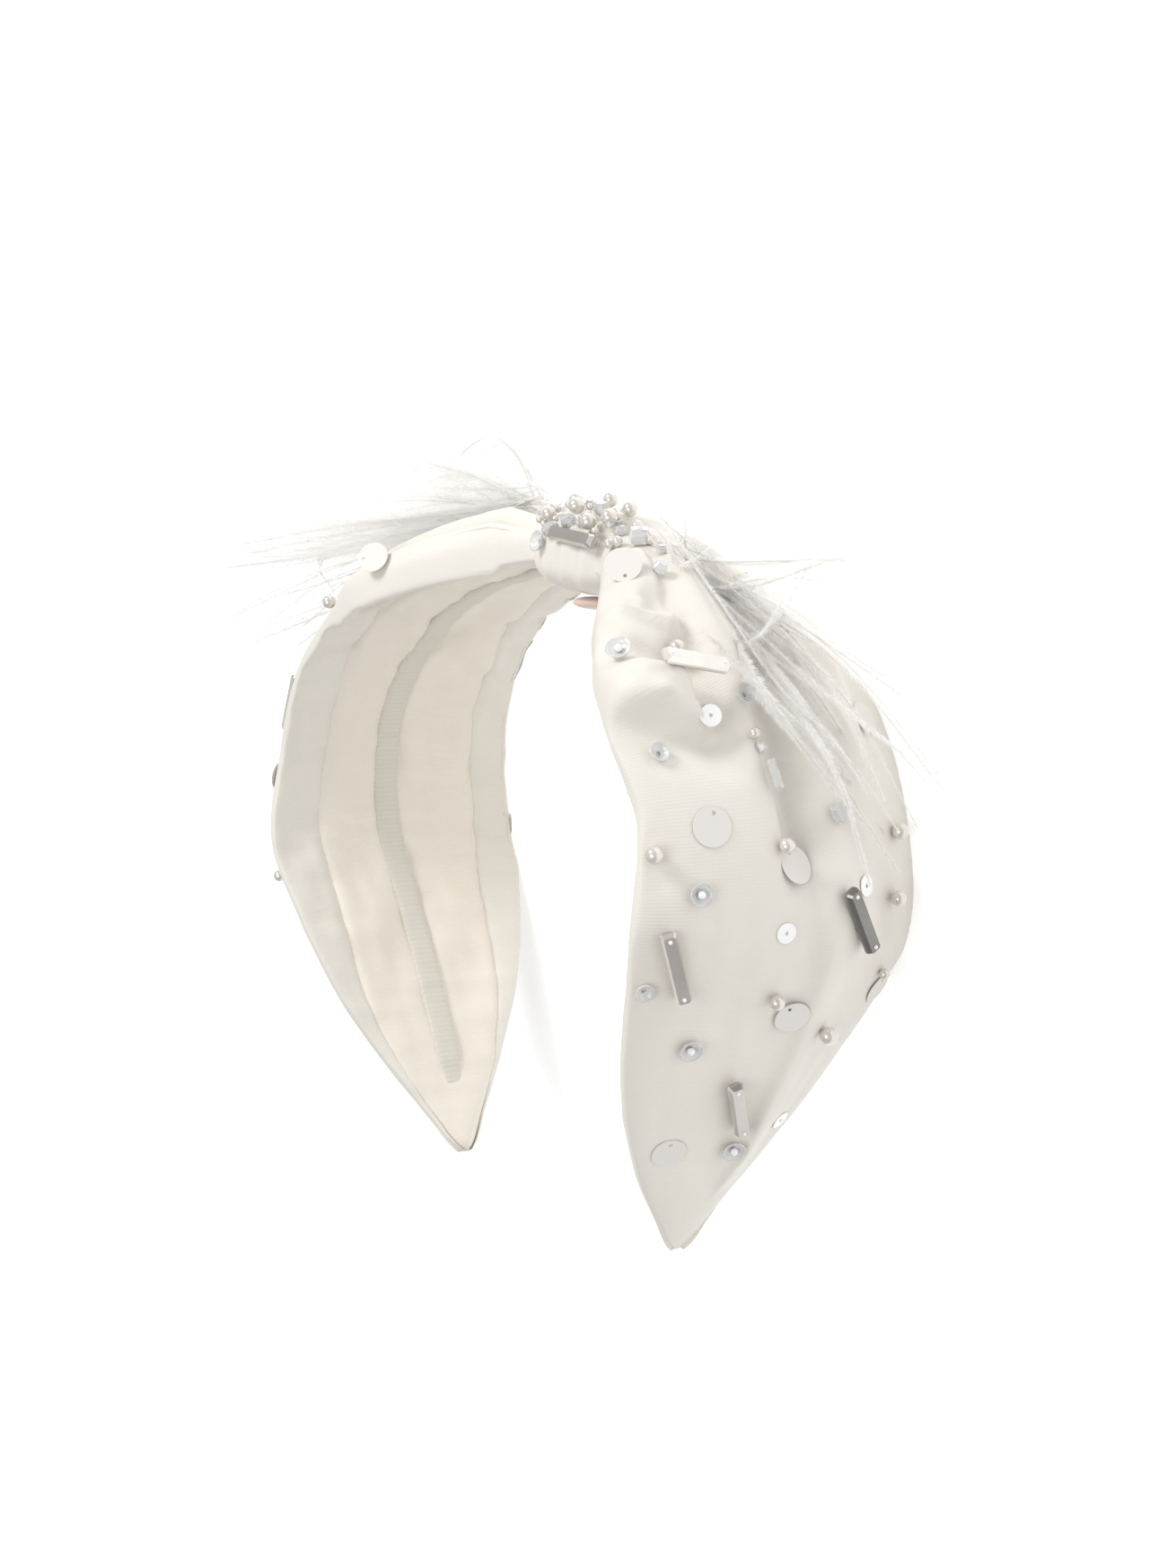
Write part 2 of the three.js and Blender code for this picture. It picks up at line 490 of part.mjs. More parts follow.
// Flat disc: a large one is pierced near its rim, a small one in its middle.
function disc(radius) {
  const ring = (count, r, x) => Array.from({ length: count }, (_, i) => {
    const angle = (i / count) * 2 * Math.PI;
    return new THREE.Vector2(x + r * Math.cos(angle), r * Math.sin(angle));
  });
  const shape = new THREE.Shape(ring(DISC.sides, radius, 0));
  const off = radius > DISC.large ? radius - DISC.rimToHole : 0;
  shape.holes.push(new THREE.Path(ring(DISC.holeSides, DISC.hole, off)));
  return new THREE.ExtrudeGeometry(shape, { depth: DISC.thickness, bevelEnabled: false });
}

function cup(radius) {
  const profile = [[0.35, 0], [radius * 0.55, 0], [radius, CUP.height], [radius - 0.35, CUP.height],
    [radius * 0.45, 0.4], [0.35, 0.4], [0.35, 0]];
  const points = profile.map(([x, y]) => new THREE.Vector2(x, y));
  return new THREE.LatheGeometry(points, CUP.sides).rotateX(Math.PI / 2);
}

const bugle = (length) => new THREE.CylinderGeometry(BUGLE.radius, BUGLE.radius, length, 8)
  .rotateZ(Math.PI / 2).translate(0, 0, BUGLE.radius);

const pearl = (radius) => new THREE.SphereGeometry(radius, 8, 5)
  .rotateX(Math.PI / 2).translate(0, 0, radius);

const SHAPES = {
  bar: { make: (size) => bar(size, BAR.width), reach: (size) => size / 2, material: "bar" },
  disc: { make: disc, reach: (size) => size, material: "disc" },
  cup: { make: cup, reach: (size) => size * 0.6, material: "cup" },
  bugle: { make: bugle, reach: (size) => size / 2, material: "stone" },
  stone: { make: (size) => bar(size, size * 0.8), reach: (size) => size / 2, material: "stone" },
  pearl: { make: pearl, reach: () => 0.5, material: "pearl" },
};

// Axes of a seat on a surface given by two coordinates: first along, then across, then out.
function seatAxes(at, first, second, stepFirst, stepSecond, outward) {
  const along = at(first + stepFirst, second).sub(at(first - stepFirst, second)).normalize();
  const across = at(first, second + stepSecond).sub(at(first, second - stepSecond)).normalize();
  const out = along.clone().cross(across).normalize();
  if (out.dot(outward) < 0) out.negate();
  return { along, out, side: out.clone().cross(along).normalize() };
}

function place(object, axes, origin, turn) {
  const matrix = new THREE.Matrix4().makeBasis(axes.along, axes.side, axes.out).setPosition(origin);
  matrix.multiply(new THREE.Matrix4().makeRotationZ(THREE.MathUtils.degToRad(turn)));
  object.applyMatrix4(matrix);
  return object;
}

// Outer side of the band by arch position and share of the half width.
const outerAt = (u, v) => skin(u, Math.acos(THREE.MathUtils.clamp(v, -0.999, 0.999)), 0);

// Height of a body's surface over a point, looking back along the outward direction.
function surfaceHeight(body, point, out) {
  const far = 20;
  const ray = new THREE.Raycaster(point.clone().addScaledVector(out, far), out.clone().negate());
  const [hit] = ray.intersectObject(body, false);
  return hit ? far - hit.distance : 0;
}

// A trim laid on the cover of its leg, just clear of the cloth under all of it.
function trim(row, body) {
  const shape = SHAPES[row.kind];
  const side = Math.sign(row.u);
  const toTip = (share, v) => outerAt(side * share, v);
  const [stepU, stepV] = row.kind === "bar" ? [0.03, 0.22] : [0.008, 0.04];
  const axes = seatAxes(toTip, Math.abs(row.u), row.v, stepU, stepV, archAt(row.u).normal);
  const origin = outerAt(row.u, row.v);
  const reach = shape.reach(row.size);
  const slim = row.kind === "bar" ? BAR.width / 2 : reach;
  const spin = THREE.MathUtils.degToRad(row.turn);
  const heights = steps(13).flatMap((s) => steps(7).map((t) => {
    const x = reach * (2 * s - 1);
    const y = slim * (2 * t - 1);
    const under = origin.clone()
      .addScaledVector(axes.along, x * Math.cos(spin) - y * Math.sin(spin))
      .addScaledVector(axes.side, x * Math.sin(spin) + y * Math.cos(spin));
    return surfaceHeight(body, under, axes.out);
  }));
  origin.addScaledVector(axes.out, Math.max(...heights) + GAP + row.lift);
  return place(mesh(row.name, shape.make(row.size), shape.material), axes, origin, row.turn);
}

// Bead cluster on the knot: a curved backing with stones, pearls and a bar fused to it.
function cluster() {
  const rad = THREE.MathUtils.degToRad;
  const lowOff = (along) => wrapFull(along) + CLUSTER_BASE.clear;
  const rings = steps(6).map((t) => {
    const along = THREE.MathUtils.lerp(-CLUSTER_BASE.halfLength, CLUSTER_BASE.halfLength, t);
    const angles = steps(6).map((s) => rad(THREE.MathUtils.lerp(CLUSTER_BASE.from, CLUSTER_BASE.to, s)));
    const top = angles.map((angle) => wrapPoint(along, angle, lowOff(along) + CLUSTER_BASE.thickness));
    const low = angles.map((angle) => wrapPoint(along, angle, lowOff(along) + 0.15));
    return [...top, ...low.reverse()];
  });
  const pieces = [loft(rings, false)];
  for (const row of CLUSTER) {
    const shape = SHAPES[row.kind];
    const at = (along, angle) => wrapPoint(along, angle, lowOff(along) + 0.45);
    const origin = at(row.along, rad(row.angle));
    const outward = origin.clone().sub(archAt(KNOT.at).point);
    const axes = seatAxes(at, row.along, rad(row.angle), 0.5, 0.1, outward);
    const made = place(new THREE.Mesh(shape.make(row.size)), axes, origin, row.turn);
    made.updateMatrix();
    const geometry = made.geometry.index ? made.geometry : mergeVertices(made.geometry);
    pieces.push(facingOut(geometry.clone().applyMatrix4(made.matrix)));
  }
  return fuse(pieces);
}

// Blush pad under the knot.
function pad() {
  const angle = THREE.MathUtils.degToRad(PAD.angle);
  const at = (along, turn) => wrapPoint(along, turn, wrapFull(along) + GAP + PAD.halfDepth);
  const origin = at(0, angle);
  const axes = seatAxes(at, 0, angle, 0.5, 0.1, new THREE.Vector3(0, 0, -1));
  const geometry = new THREE.SphereGeometry(1, 12, 6).scale(PAD.halfLength, PAD.halfWidth, PAD.halfDepth);
  return place(mesh("knot_pad", geometry, "blush"), axes, origin, 0);
}

// Plume: a head pad on the cover and flattened tapering locks that leave it, fused.
function plume(name, spec, body) {
  const out = archAt(spec.root.u).normal;
  const seat = outerAt(spec.root.u, spec.root.v);
  const toTip = new THREE.Vector3(out.z, 0, -out.x);
  const under = steps(9).flatMap((s) => steps(9).map((t) => seat.clone()
    .addScaledVector(toTip, PLUME.head[0] * (2 * s - 1))
    .add(new THREE.Vector3(0, PLUME.head[1] * (2 * t - 1), 0))));
  const clear = Math.max(...under.map((point) => surfaceHeight(body, point, out)));
  const rootLift = clear + GAP + PLUME.head[2];
  const root = seat.clone().addScaledVector(out, rootLift);
  const upright = new THREE.Quaternion().setFromUnitVectors(new THREE.Vector3(0, 0, 1), out);
  const head = new THREE.SphereGeometry(1, 10, 6).scale(...PLUME.head).applyQuaternion(upright);
  head.translate(root.x, root.y, root.z);
  const locks = spec.locks.map((lock) => {
    const curve = new THREE.CatmullRomCurve3([root, ...lock.through.map((at) => new THREE.Vector3(...at))]);
    const rings = steps(PLUME.steps + 1).map((t) => {
      const centre = curve.getPointAt(t);
      const forward = curve.getTangentAt(t);
      const wide = out.clone().cross(forward).normalize();
      const thick = forward.clone().cross(wide).normalize();
      const swell = THREE.MathUtils.lerp(PLUME.root, PLUME.tip, t) + 1.9 * t * (1 - t) ** 1.2;
      const size = (lock.width / 2) * swell;
      return Array.from({ length: PLUME.sides }, (_, i) => {
        const angle = (i / PLUME.sides) * 2 * Math.PI;
        return centre.clone().addScaledVector(wide, size * Math.cos(angle))
          .addScaledVector(thick, size * PLUME.flat * Math.sin(angle));
      });
    });
    return loft(rings, false);
  });
  return mesh(name, fuse([head, ...locks]), "feather");
}

const backEdge = [-1, 1].flatMap((side) => steps(81).map((t) => skin(side * (0.2 + 0.7 * t), 0, 0)));
const edgeReach = backEdge.map(reachOf);
floorReach = Math.max(...edgeReach) - REST.flatten;

const worn = new THREE.Group();
worn.name = "worn";
const coverRight = mesh("cover_right", cover(1), "satin");
const coverLeft = mesh("cover_left", cover(-1), "satin");
worn.add(coverRight, coverLeft);
worn.add(mesh("lining_right", lining(1), "lining"));
worn.add(mesh("lining_left", lining(-1), "lining"));
worn.add(mesh("inner_ribbon", ribbon(), "ribbon"));
worn.add(mesh("knot_wrap", wrap(), "satin"));
worn.add(pad());
worn.add(mesh("knot_beads", cluster(), "stone"));
worn.add(plume("plume_right", PLUME_RIGHT, coverRight));
worn.add(plume("plume_left", PLUME_LEFT, coverLeft));
TRIMS.forEach((row) => worn.add(trim(row, row.u > 0 ? coverRight : coverLeft)));

// Lay it on its back edge and centre its box over the origin.
worn.rotation.x = -(Math.PI / 2 + REST.tilt);
const headband = new THREE.Group();
headband.name = "headband";
headband.add(worn);
headband.updateMatrixWorld(true);
const box = new THREE.Box3().setFromObject(headband, true);
const middle = box.getCenter(new THREE.Vector3());
worn.position.set(-middle.x, -middle.y, -box.min.z);

export default headband;
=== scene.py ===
"""Knotted satin headband with feather plumes and sewn-on trims, lying on its back edge on a pale floor.

The cloth is built as worn, in millimetres (X across the head, Y to the back, Z up), and then turned into the
row frame, where it lies on its back edge.
"""

import math

import bmesh
import bpy
import numpy as np
from mathutils import Matrix, Vector


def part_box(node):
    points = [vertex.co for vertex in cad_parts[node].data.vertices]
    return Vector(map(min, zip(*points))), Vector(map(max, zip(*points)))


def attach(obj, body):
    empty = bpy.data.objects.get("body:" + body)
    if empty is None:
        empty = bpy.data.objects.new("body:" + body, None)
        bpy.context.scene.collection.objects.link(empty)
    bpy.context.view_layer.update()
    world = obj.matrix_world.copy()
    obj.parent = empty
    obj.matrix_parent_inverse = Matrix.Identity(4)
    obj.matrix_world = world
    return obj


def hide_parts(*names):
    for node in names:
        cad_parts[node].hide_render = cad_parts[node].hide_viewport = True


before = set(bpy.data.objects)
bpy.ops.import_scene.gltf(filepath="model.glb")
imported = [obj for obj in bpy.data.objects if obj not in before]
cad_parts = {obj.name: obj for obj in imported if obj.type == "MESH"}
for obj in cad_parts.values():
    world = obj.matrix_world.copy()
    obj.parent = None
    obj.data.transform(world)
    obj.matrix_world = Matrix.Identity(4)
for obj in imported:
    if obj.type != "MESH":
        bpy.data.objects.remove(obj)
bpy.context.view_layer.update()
MM = 0.001
SCENE = bpy.context.scene

# Sizes of the form in mm and shares, as in the solids
ARCH = {
    "half_width": 65.6, "rise": 47.8, "handle": 0.62, "drop": 63.0, "tip_half_gap": 35.5, "bend_radius": 33.5,
    "steps": 600,
}
LEG_COLUMNS = ("share", "half", "dome", "outer", "inner")
LEG = np.array([
    (0.00, 22.4, 2.6, 3.6, 2.9),
    (0.30, 23.0, 2.7, 3.4, 2.8),
    (0.38, 23.6, 2.8, 3.0, 2.5),
    (0.48, 23.6, 2.8, 2.7, 2.4),
    (0.60, 25.6, 3.0, 2.6, 2.4),
    (0.70, 23.0, 2.6, 2.5, 2.3),
    (0.80, 18.4, 1.8, 2.3, 2.1),
    (0.89, 11.3, 0.8, 2.0, 1.8),
    (0.96, 5.2, 0.2, 1.6, 1.4),
    (0.99, 2.6, 0.0, 1.1, 1.0),
    (1.00, 1.0, 0.0, 0.7, 0.7),
])
# Share of the half arch, and how far the right leg's front edge lies out and its back edge lies in there
SWING = np.array([
    (0.0, 0.0, 0.0),
    (0.3, 0.3, 0.0),
    (0.4, 1.9, 0.0),
    (0.5, 0.2, 0.0),
    (0.6, 0.0, 0.0),
    (0.7, 0.2, 0.8),
    (0.8, 0.6, 2.2),
    (0.9, 1.4, 2.6),
    (1.0, 0.4, 0.6),
])
KNOT = {
    "at": 0.062, "back": 2.0, "half": 7.3, "outer": 6.4, "inner": 1.6, "wrap_half": 11.0, "gather": 36.0,
    "fold_free": 8.0, "gap": 0.3,
}
WRAP = {"clear": 0.5, "wall": 1.4, "drop": 4.0, "rim": 0.6, "edge": 0.3, "inset": 0.5, "seat": 0.3}
WRAP_RINGS, WRAP_SIDES = (-1.0, -0.6, 0.0, 0.6, 1.0), 24
# Small steps along the wrap and round it, from which its directions are found
NUDGE, NUDGE_ANGLE = 0.5, 0.05
PAD = {"half_length": 5.2, "half_width": 3.8, "half_depth": 1.1, "angle": 262.0, "leaf": 0.25}
# Power that rounds a section
FULLNESS = 0.75
# Seams as shares of the half width, along a leg and at its tip, and the shares of the arch where they close
SEAM, TIP_SEAM, SEAM_CLOSES = 0.62, 0.84, (0.66, 0.96)
# Half width that the widths of folds are given for
FULL_HALF = 24.0
RIBBON = {
    "width": 4.6, "end": 0.92, "bow": 2.6, "bow_at": 0.5, "bow_span": 0.17, "end_span": 0.035,
    "end_wide": 0.6, "end_thick": 0.5, "most": 0.7, "sunk": 0.25, "even": 20, "scallop": 0.14,
    "scallop_length": 1.5, "rib": 3.1, "steps": 1500, "edge": 0.95,
}
REST_TILT, REST_FLATTEN = math.radians(3.6), 1.3
# Stretch of the back edge that may lie on the floor, in shares of the half arch and steps
BACK_EDGE = (0.2, 0.9, 81)
TO_FLOOR = np.array([0.0, math.cos(REST_TILT), math.sin(REST_TILT)])
# Thickness of the satin, and how far it stands out from the solids
CLOTH, PROUD = 0.9, 0.7

# Folds of the satin: share of the half arch and of the half width at both ends, width and height in mm
FOLDS_RIGHT = [
    (0.20, -0.78, 0.36, -0.85, 6.5, 2.2),
    (0.27, -0.50, 0.42, -0.40, 4.2, -2.8),
    (0.366, -0.95, 0.38, -0.60, 4.8, 1.7),
    (0.412, -0.95, 0.418, -0.48, 4.4, -1.6),
    (0.22, -0.18, 0.40, -0.15, 5.5, 1.9),
    (0.41, -0.08, 0.52, 0.12, 5.0, -1.3),
    (0.45, 0.28, 0.60, 0.36, 6.0, 1.0),
    (0.545, 0.18, 0.86, 0.33, 5.0, 0.8),
    (0.14, 0.12, 0.30, 0.12, 4.0, -1.8),
    (0.14, 0.45, 0.34, 0.42, 5.0, 1.8),
    (0.14, 0.80, 0.30, 0.74, 4.0, -1.2),
]
FOLDS_LEFT = [
    (0.02, -0.70, 0.26, -0.72, 5.0, 2.0),
    (0.02, -0.40, 0.24, -0.44, 4.0, -1.8),
    (0.02, -0.10, 0.28, -0.14, 5.0, 1.9),
    (0.02, 0.20, 0.24, 0.16, 4.0, -1.7),
    (0.02, 0.52, 0.30, 0.46, 5.0, 1.8),
    (0.32, -0.30, 0.46, -0.10, 6.0, 1.2),
    (0.36, 0.50, 0.50, 0.40, 5.0, -1.1),
    (0.50, 0.10, 0.78, 0.20, 6.0, 0.8),
]
FOLDS_INSIDE = [
    (0.28, 0.42, 0.40, 0.50, 6.0, 0.8),
    (0.36, -0.50, 0.48, -0.42, 6.0, 0.7),
    (0.52, 0.45, 0.62, 0.50, 6.0, 0.7),
    (0.60, -0.45, 0.72, -0.48, 6.0, 0.7),
]
# Smaller creases that the solids leave out
CREASES_RIGHT = [
    (0.262, -0.73, 0.273, -0.68, 1.6, 1.3),
    (0.276, -0.74, 0.284, -0.66, 1.5, -1.0),
    (0.308, -0.99, 0.340, -0.62, 2.0, -2.2),
    (0.392, -1.00, 0.412, -0.60, 2.4, -1.2),
    (0.375, -0.76, 0.394, -0.56, 2.0, -1.8),
    (0.340, -0.40, 0.405, -0.30, 3.2, -2.2),
    (0.240, -0.95, 0.262, -0.78, 2.4, -0.8),
    (0.340, 0.02, 0.440, 0.06, 2.4, -0.5),
    (0.300, 0.25, 0.420, 0.26, 2.4, -0.6),
    (0.320, 0.60, 0.440, 0.58, 2.6, 0.5),
    (0.480, -0.30, 0.560, -0.22, 4.0, 0.3),
    (0.520, 0.55, 0.640, 0.60, 3.0, -0.4),
    (0.515, -0.99, 0.545, -0.88, 2.4, -0.7),
    (0.618, -0.99, 0.640, -0.90, 2.4, -0.6),
    (0.640, -0.40, 0.760, -0.30, 5.0, -0.3),
    (0.700, 0.62, 0.820, 0.60, 3.0, 0.3),
]
# Laps fall steeply on one side: as above, then 1 where the back side is steep and -1 where the front is
LAPS_RIGHT = [
    (0.200, -0.54, 0.300, -0.46, 4.2, 1.4, 1),
    (0.300, -0.46, 0.346, -0.60, 3.6, 0.9, 1),
    (0.266, -1.00, 0.302, -0.52, 2.8, 1.9, -1),
    (0.376, -1.00, 0.390, -0.74, 5.4, 3.6, -1),
    (0.390, -0.75, 0.408, -0.48, 3.8, 2.6, -1),
    (0.364, -0.58, 0.405, -0.46, 2.4, 2.2, 1),
    (0.390, 0.00, 0.520, 0.00, 8.0, -4.0, -1),
    (0.500, 0.12, 0.880, 0.36, 6.0, 1.2, -1),
    (0.300, 0.30, 0.420, 0.34, 4.0, 1.0, 1),
    (0.300, 0.62, 0.420, 0.60, 4.0, 1.0, 1),
]
LAPS_LEFT = [
    (0.000, -0.88, 0.240, -0.95, 4.0, 3.4, 1),
    (0.000, -0.50, 0.230, -0.60, 4.4, 3.2, 1),
    (0.000, -0.14, 0.210, -0.22, 4.4, 2.6, 1),
    (0.000, 0.30, 0.200, 0.30, 4.0, 2.0, -1),
    (0.000, 0.66, 0.220, 0.68, 4.0, 1.8, -1),
]
CREASES_LEFT = [
    (0.000, -0.70, 0.250, -0.80, 2.2, -3.0),
    (0.000, -0.32, 0.220, -0.42, 2.4, -2.6),
    (0.060, 0.34, 0.220, 0.30, 1.8, 0.6),
    (0.300, -0.60, 0.420, -0.50, 3.0, -0.6),
    (0.420, 0.20, 0.540, 0.26, 3.0, 0.5),
    (0.560, -0.40, 0.680, -0.34, 4.0, -0.4),
]
CREASES_INSIDE = [
    (0.20, 0.30, 0.34, 0.20, 3.0, -0.6),
    (0.24, -0.35, 0.33, -0.20, 3.0, 0.5),
    (0.33, 0.62, 0.36, 0.90, 2.6, -0.8),
    (0.37, 0.55, 0.42, 0.85, 3.0, 0.7),
    (0.45, 0.50, 0.47, 0.92, 2.6, -0.7),
    (0.50, 0.60, 0.58, 0.80, 3.4, 0.6),
    (0.42, 0.20, 0.47, 0.40, 2.6, -0.4),
    (0.55, 0.22, 0.60, 0.50, 3.0, -0.4),
    (0.66, 0.20, 0.72, 0.52, 3.0, 0.4),
    (0.40, -0.62, 0.46, -0.90, 3.0, 0.5),
    (0.58, -0.62, 0.63, -0.88, 2.6, -0.5),
    (0.70, -0.25, 0.80, -0.55, 3.0, 0.4),
    (0.05, -0.78, 0.25, -0.82, 2.8, -3.4),
    (0.05, -0.97, 0.26, -0.98, 2.6, 2.6),
    (0.26, -0.62, 0.30, -0.95, 2.2, -1.0),
    (0.34, -0.66, 0.37, -0.95, 2.2, -0.9),
    (0.40, 0.66, 0.41, 0.96, 2.2, -1.2),
    (0.53, 0.66, 0.54, 0.95, 2.4, -1.1),
    (0.61, 0.66, 0.63, 0.95, 2.2, -0.9),
    (0.30, 0.60, 0.28, 0.95, 2.4, -1.2),
]
PLAIN_ROWS = (FOLDS_RIGHT, FOLDS_LEFT, FOLDS_INSIDE)
FINE_ROWS = (
    FOLDS_RIGHT + CREASES_RIGHT + LAPS_RIGHT,
    FOLDS_LEFT + CREASES_LEFT + LAPS_LEFT,
    FOLDS_INSIDE + CREASES_INSIDE,
)
# Shares of a lap's width: its steep side, and how far it runs out past its ends
LAP_STEEP, LAP_END = 0.28, 0.8
# Unevenness of the cloth: length of a wave along and across, seed, levels of fineness and height
RIPPLES = {
    "strands": (60.0, 1 / 2.6, 11, 2, 0.9),
    "drift_right": (34.0, 22.0, 5, 3, 0.22),
    "drift_left": (34.0, 22.0, 6, 3, 0.22),
    "rumple": (12.0, 9.0, 41, 3, 0.13),
    "pucker": (7.5, 30.0, 21, 2, 0.32),
    "sag": (24.0, 13.0, 23, 3, 0.55),
    "edge": (15.0, 2.5, 31, 3, 0.22),
}
# Levels of a wave: headings in each, how much finer and lower the next is, spread of the pace, divisor
WAVES = {"headings": 4, "finer": 1.7, "pace": (0.7, 1.2), "over": 5.0}
# Shares where the fine form fades: at the tips, towards the floor and at the edges; and gathers off the knot
FADE = {"calm": (0.02, 0.22), "proud": (0.0, 0.12), "under": 0.35, "edge": 0.3, "gather": 0.12}

CAMERA = {
    "azimuth": 59.0, "elevation": 6.66, "distance": 449.0, "height": 9.1, "focal_px": 2921.0,
    "axis_px": 629.4, "sensor": 36.0, "near": 0.01,
}
PHOTO = {"width": 1310, "height": 1746}


def lerp(a, b, t):
    return a + (b - a) * t


def smooth_step(x, low, high):
    t = np.clip((x - low) / (high - low), 0.0, 1.0)
    return t * t * (3.0 - 2.0 * t)


def unit(vectors):
    return vectors / np.linalg.norm(vectors, axis=-1, keepdims=True)


def column(table, index, at):
    """Smooth value of one column of a table by its first column, without overshoot between the rows."""
    x, y = table[:, 0], table[:, index]
    width = np.diff(x)
    rate = np.diff(y) / width
    slope = np.empty_like(y)
    slope[0], slope[-1] = rate[0], rate[-1]
    first, second = 2 * width[1:] + width[:-1], width[1:] + 2 * width[:-1]
    same = rate[:-1] * rate[1:] > 0
    before, after = np.where(same, rate[:-1], 1.0), np.where(same, rate[1:], 1.0)
    slope[1:-1] = np.where(same, (first + second) / (first / before + second / after), 0.0)
    k = np.clip(np.searchsorted(x, at) - 1, 0, len(width) - 1)
    t = np.clip((at - x[k]) / width[k], 0.0, 1.0)
    s = 1.0 - t
    ends = y[k] * s * s * (1 + 2 * t) + y[k + 1] * t * t * (3 - 2 * t)
    return ends + width[k] * (slope[k] * t * s * s - slope[k + 1] * t * t * s)


def arch_line():
    """Half of the middle line: points and their shares of its length."""
    a = ARCH
    t = np.linspace(0.0, 1.0, a["steps"])
    s = 1.0 - t
    centre = a["half_width"] - a["bend_radius"]
    across = centre - a["tip_half_gap"]
    straight = math.sqrt(across**2 + a["drop"] ** 2 - a["bend_radius"] ** 2)
    slant = math.atan2(across, a["drop"]) + math.atan2(a["bend_radius"], straight)
    handle_x, handle_z = a["handle"] * a["half_width"], a["handle"] * a["rise"]
    top_x = 3 * s * s * t * handle_x + 3 * s * t * t * a["half_width"] + t**3 * a["half_width"]
    top_z = s**3 * a["rise"] + 3 * s * s * t * a["rise"] + 3 * s * t * t * handle_z
    turn = slant * t[1:]
    run = straight * t[1:]
    x = np.concatenate([top_x, centre + a["bend_radius"] * np.cos(turn),
                        centre + a["bend_radius"] * math.cos(slant) - run * math.sin(slant)])
    z = np.concatenate([top_z, -a["bend_radius"] * np.sin(turn),
                        -a["bend_radius"] * math.sin(slant) - run * math.cos(slant)])
    length = np.concatenate([[0.0], np.cumsum(np.hypot(np.diff(x), np.diff(z)))])
    return x, z, length / length[-1], length[-1]


LINE_X, LINE_Z, LINE_SHARE, LENGTH = arch_line()
LINE_SLOPE = np.arctan2(np.gradient(LINE_Z), np.gradient(LINE_X))


def arch_at(u):
    """Point and outward normal of the middle line at arch position u, from -1 (left tip) to 1."""
    side = np.where(u < 0, -1.0, 1.0)
    share = np.clip(np.abs(u), 0.0, 1.0)
    slope = np.interp(share, LINE_SHARE, LINE_SLOPE)
    x, z = np.interp(share, LINE_SHARE, LINE_X), np.interp(share, LINE_SHARE, LINE_Z)
    level = np.zeros_like(x)
    normal = np.stack([-side * np.sin(slope), level, np.cos(slope)], axis=-1)
    return np.stack([side * x, level, z], axis=-1), normal


def section_at(u):
    """Sizes of the section at an arch position, gathered near the knot."""
    share = np.abs(u)
    distance = np.maximum(np.abs(u - KNOT["at"]) * LENGTH - KNOT["wrap_half"], 0.0)
    spread = np.minimum(distance / KNOT["gather"], 1.0)
    opened = (smooth_step(spread, 0.0, 1.0) + 1.0 - (1.0 - spread) ** 2) / 2
    legs = {name: column(LEG, i, share) for i, name in enumerate(LEG_COLUMNS) if i}
    made = {name: lerp(KNOT[name], legs[name], opened) for name in ("half", "outer", "inner")}
    made["dome"] = legs["dome"] * opened
    front, behind = (np.where(u > 0, column(SWING, i, share), 0.0) for i in (1, 2))
    made["half"] = made["half"] + (front - behind) / 2
    made["back"] = KNOT["back"] * (1.0 - opened) - (front + behind) / 2
    made["fold_share"] = np.minimum(distance / KNOT["fold_free"], 1.0)
    made["opened"] = opened
    return made


def relief(rows, u, v, half):
    """Sum of the folds and laps at a place on the flat cloth."""
    total = np.zeros(np.broadcast(u, v).shape)
    along, across = np.abs(u) * LENGTH, v * half
    for share, place, share_to, place_to, width, height, *steep in rows:
        run_a, run_c = (share_to - share) * LENGTH, (place_to - place) * half
        off_a, off_c = along - share * LENGTH, across - place * half
        length = np.hypot(run_a, run_c)
        t = (off_a * run_a + off_c * run_c) / length**2
        wide = width * half / FULL_HALF
        if steep:
            aside = (run_a * off_c - run_c * off_a) / length * steep[0]
            beyond = np.maximum(np.maximum(-t, t - 1.0), 0.0) * length
            wide = wide * np.where(aside > 0, LAP_STEEP, 1.0)
            away = (aside / wide) ** 2 + (beyond / (LAP_END * width)) ** 2
        else:
            t = np.clip(t, 0.0, 1.0)
            away = (np.hypot(off_a - t * run_a, off_c - t * run_c) / wide) ** 2
        total = total + height * np.exp(-away)
    return total


def waves(a, b, seed, levels=3):
    """Smooth random height from about -1 to 1 over two coordinates, with a period of about one unit."""
    chance = np.random.default_rng(seed)
    total = np.zeros(np.broadcast(a, b).shape)
    for level in range(levels):
        finer = WAVES["finer"] ** level
        for _ in range(WAVES["headings"]):
            heading, phase = chance.uniform(0, math.tau, 2)
            pace = math.tau * finer * chance.uniform(*WAVES["pace"])
            total = total + np.sin(pace * (a * math.cos(heading) + b * math.sin(heading)) + phase) / finer
    return total / WAVES["over"]


def ripple(name, along, across):
    length, width, seed, levels, height = RIPPLES[name]
    return height * waves(along / length, across / width, seed, levels)


# Nothing lies on the floor until the reach of the back edge is known
floor_reach = math.inf


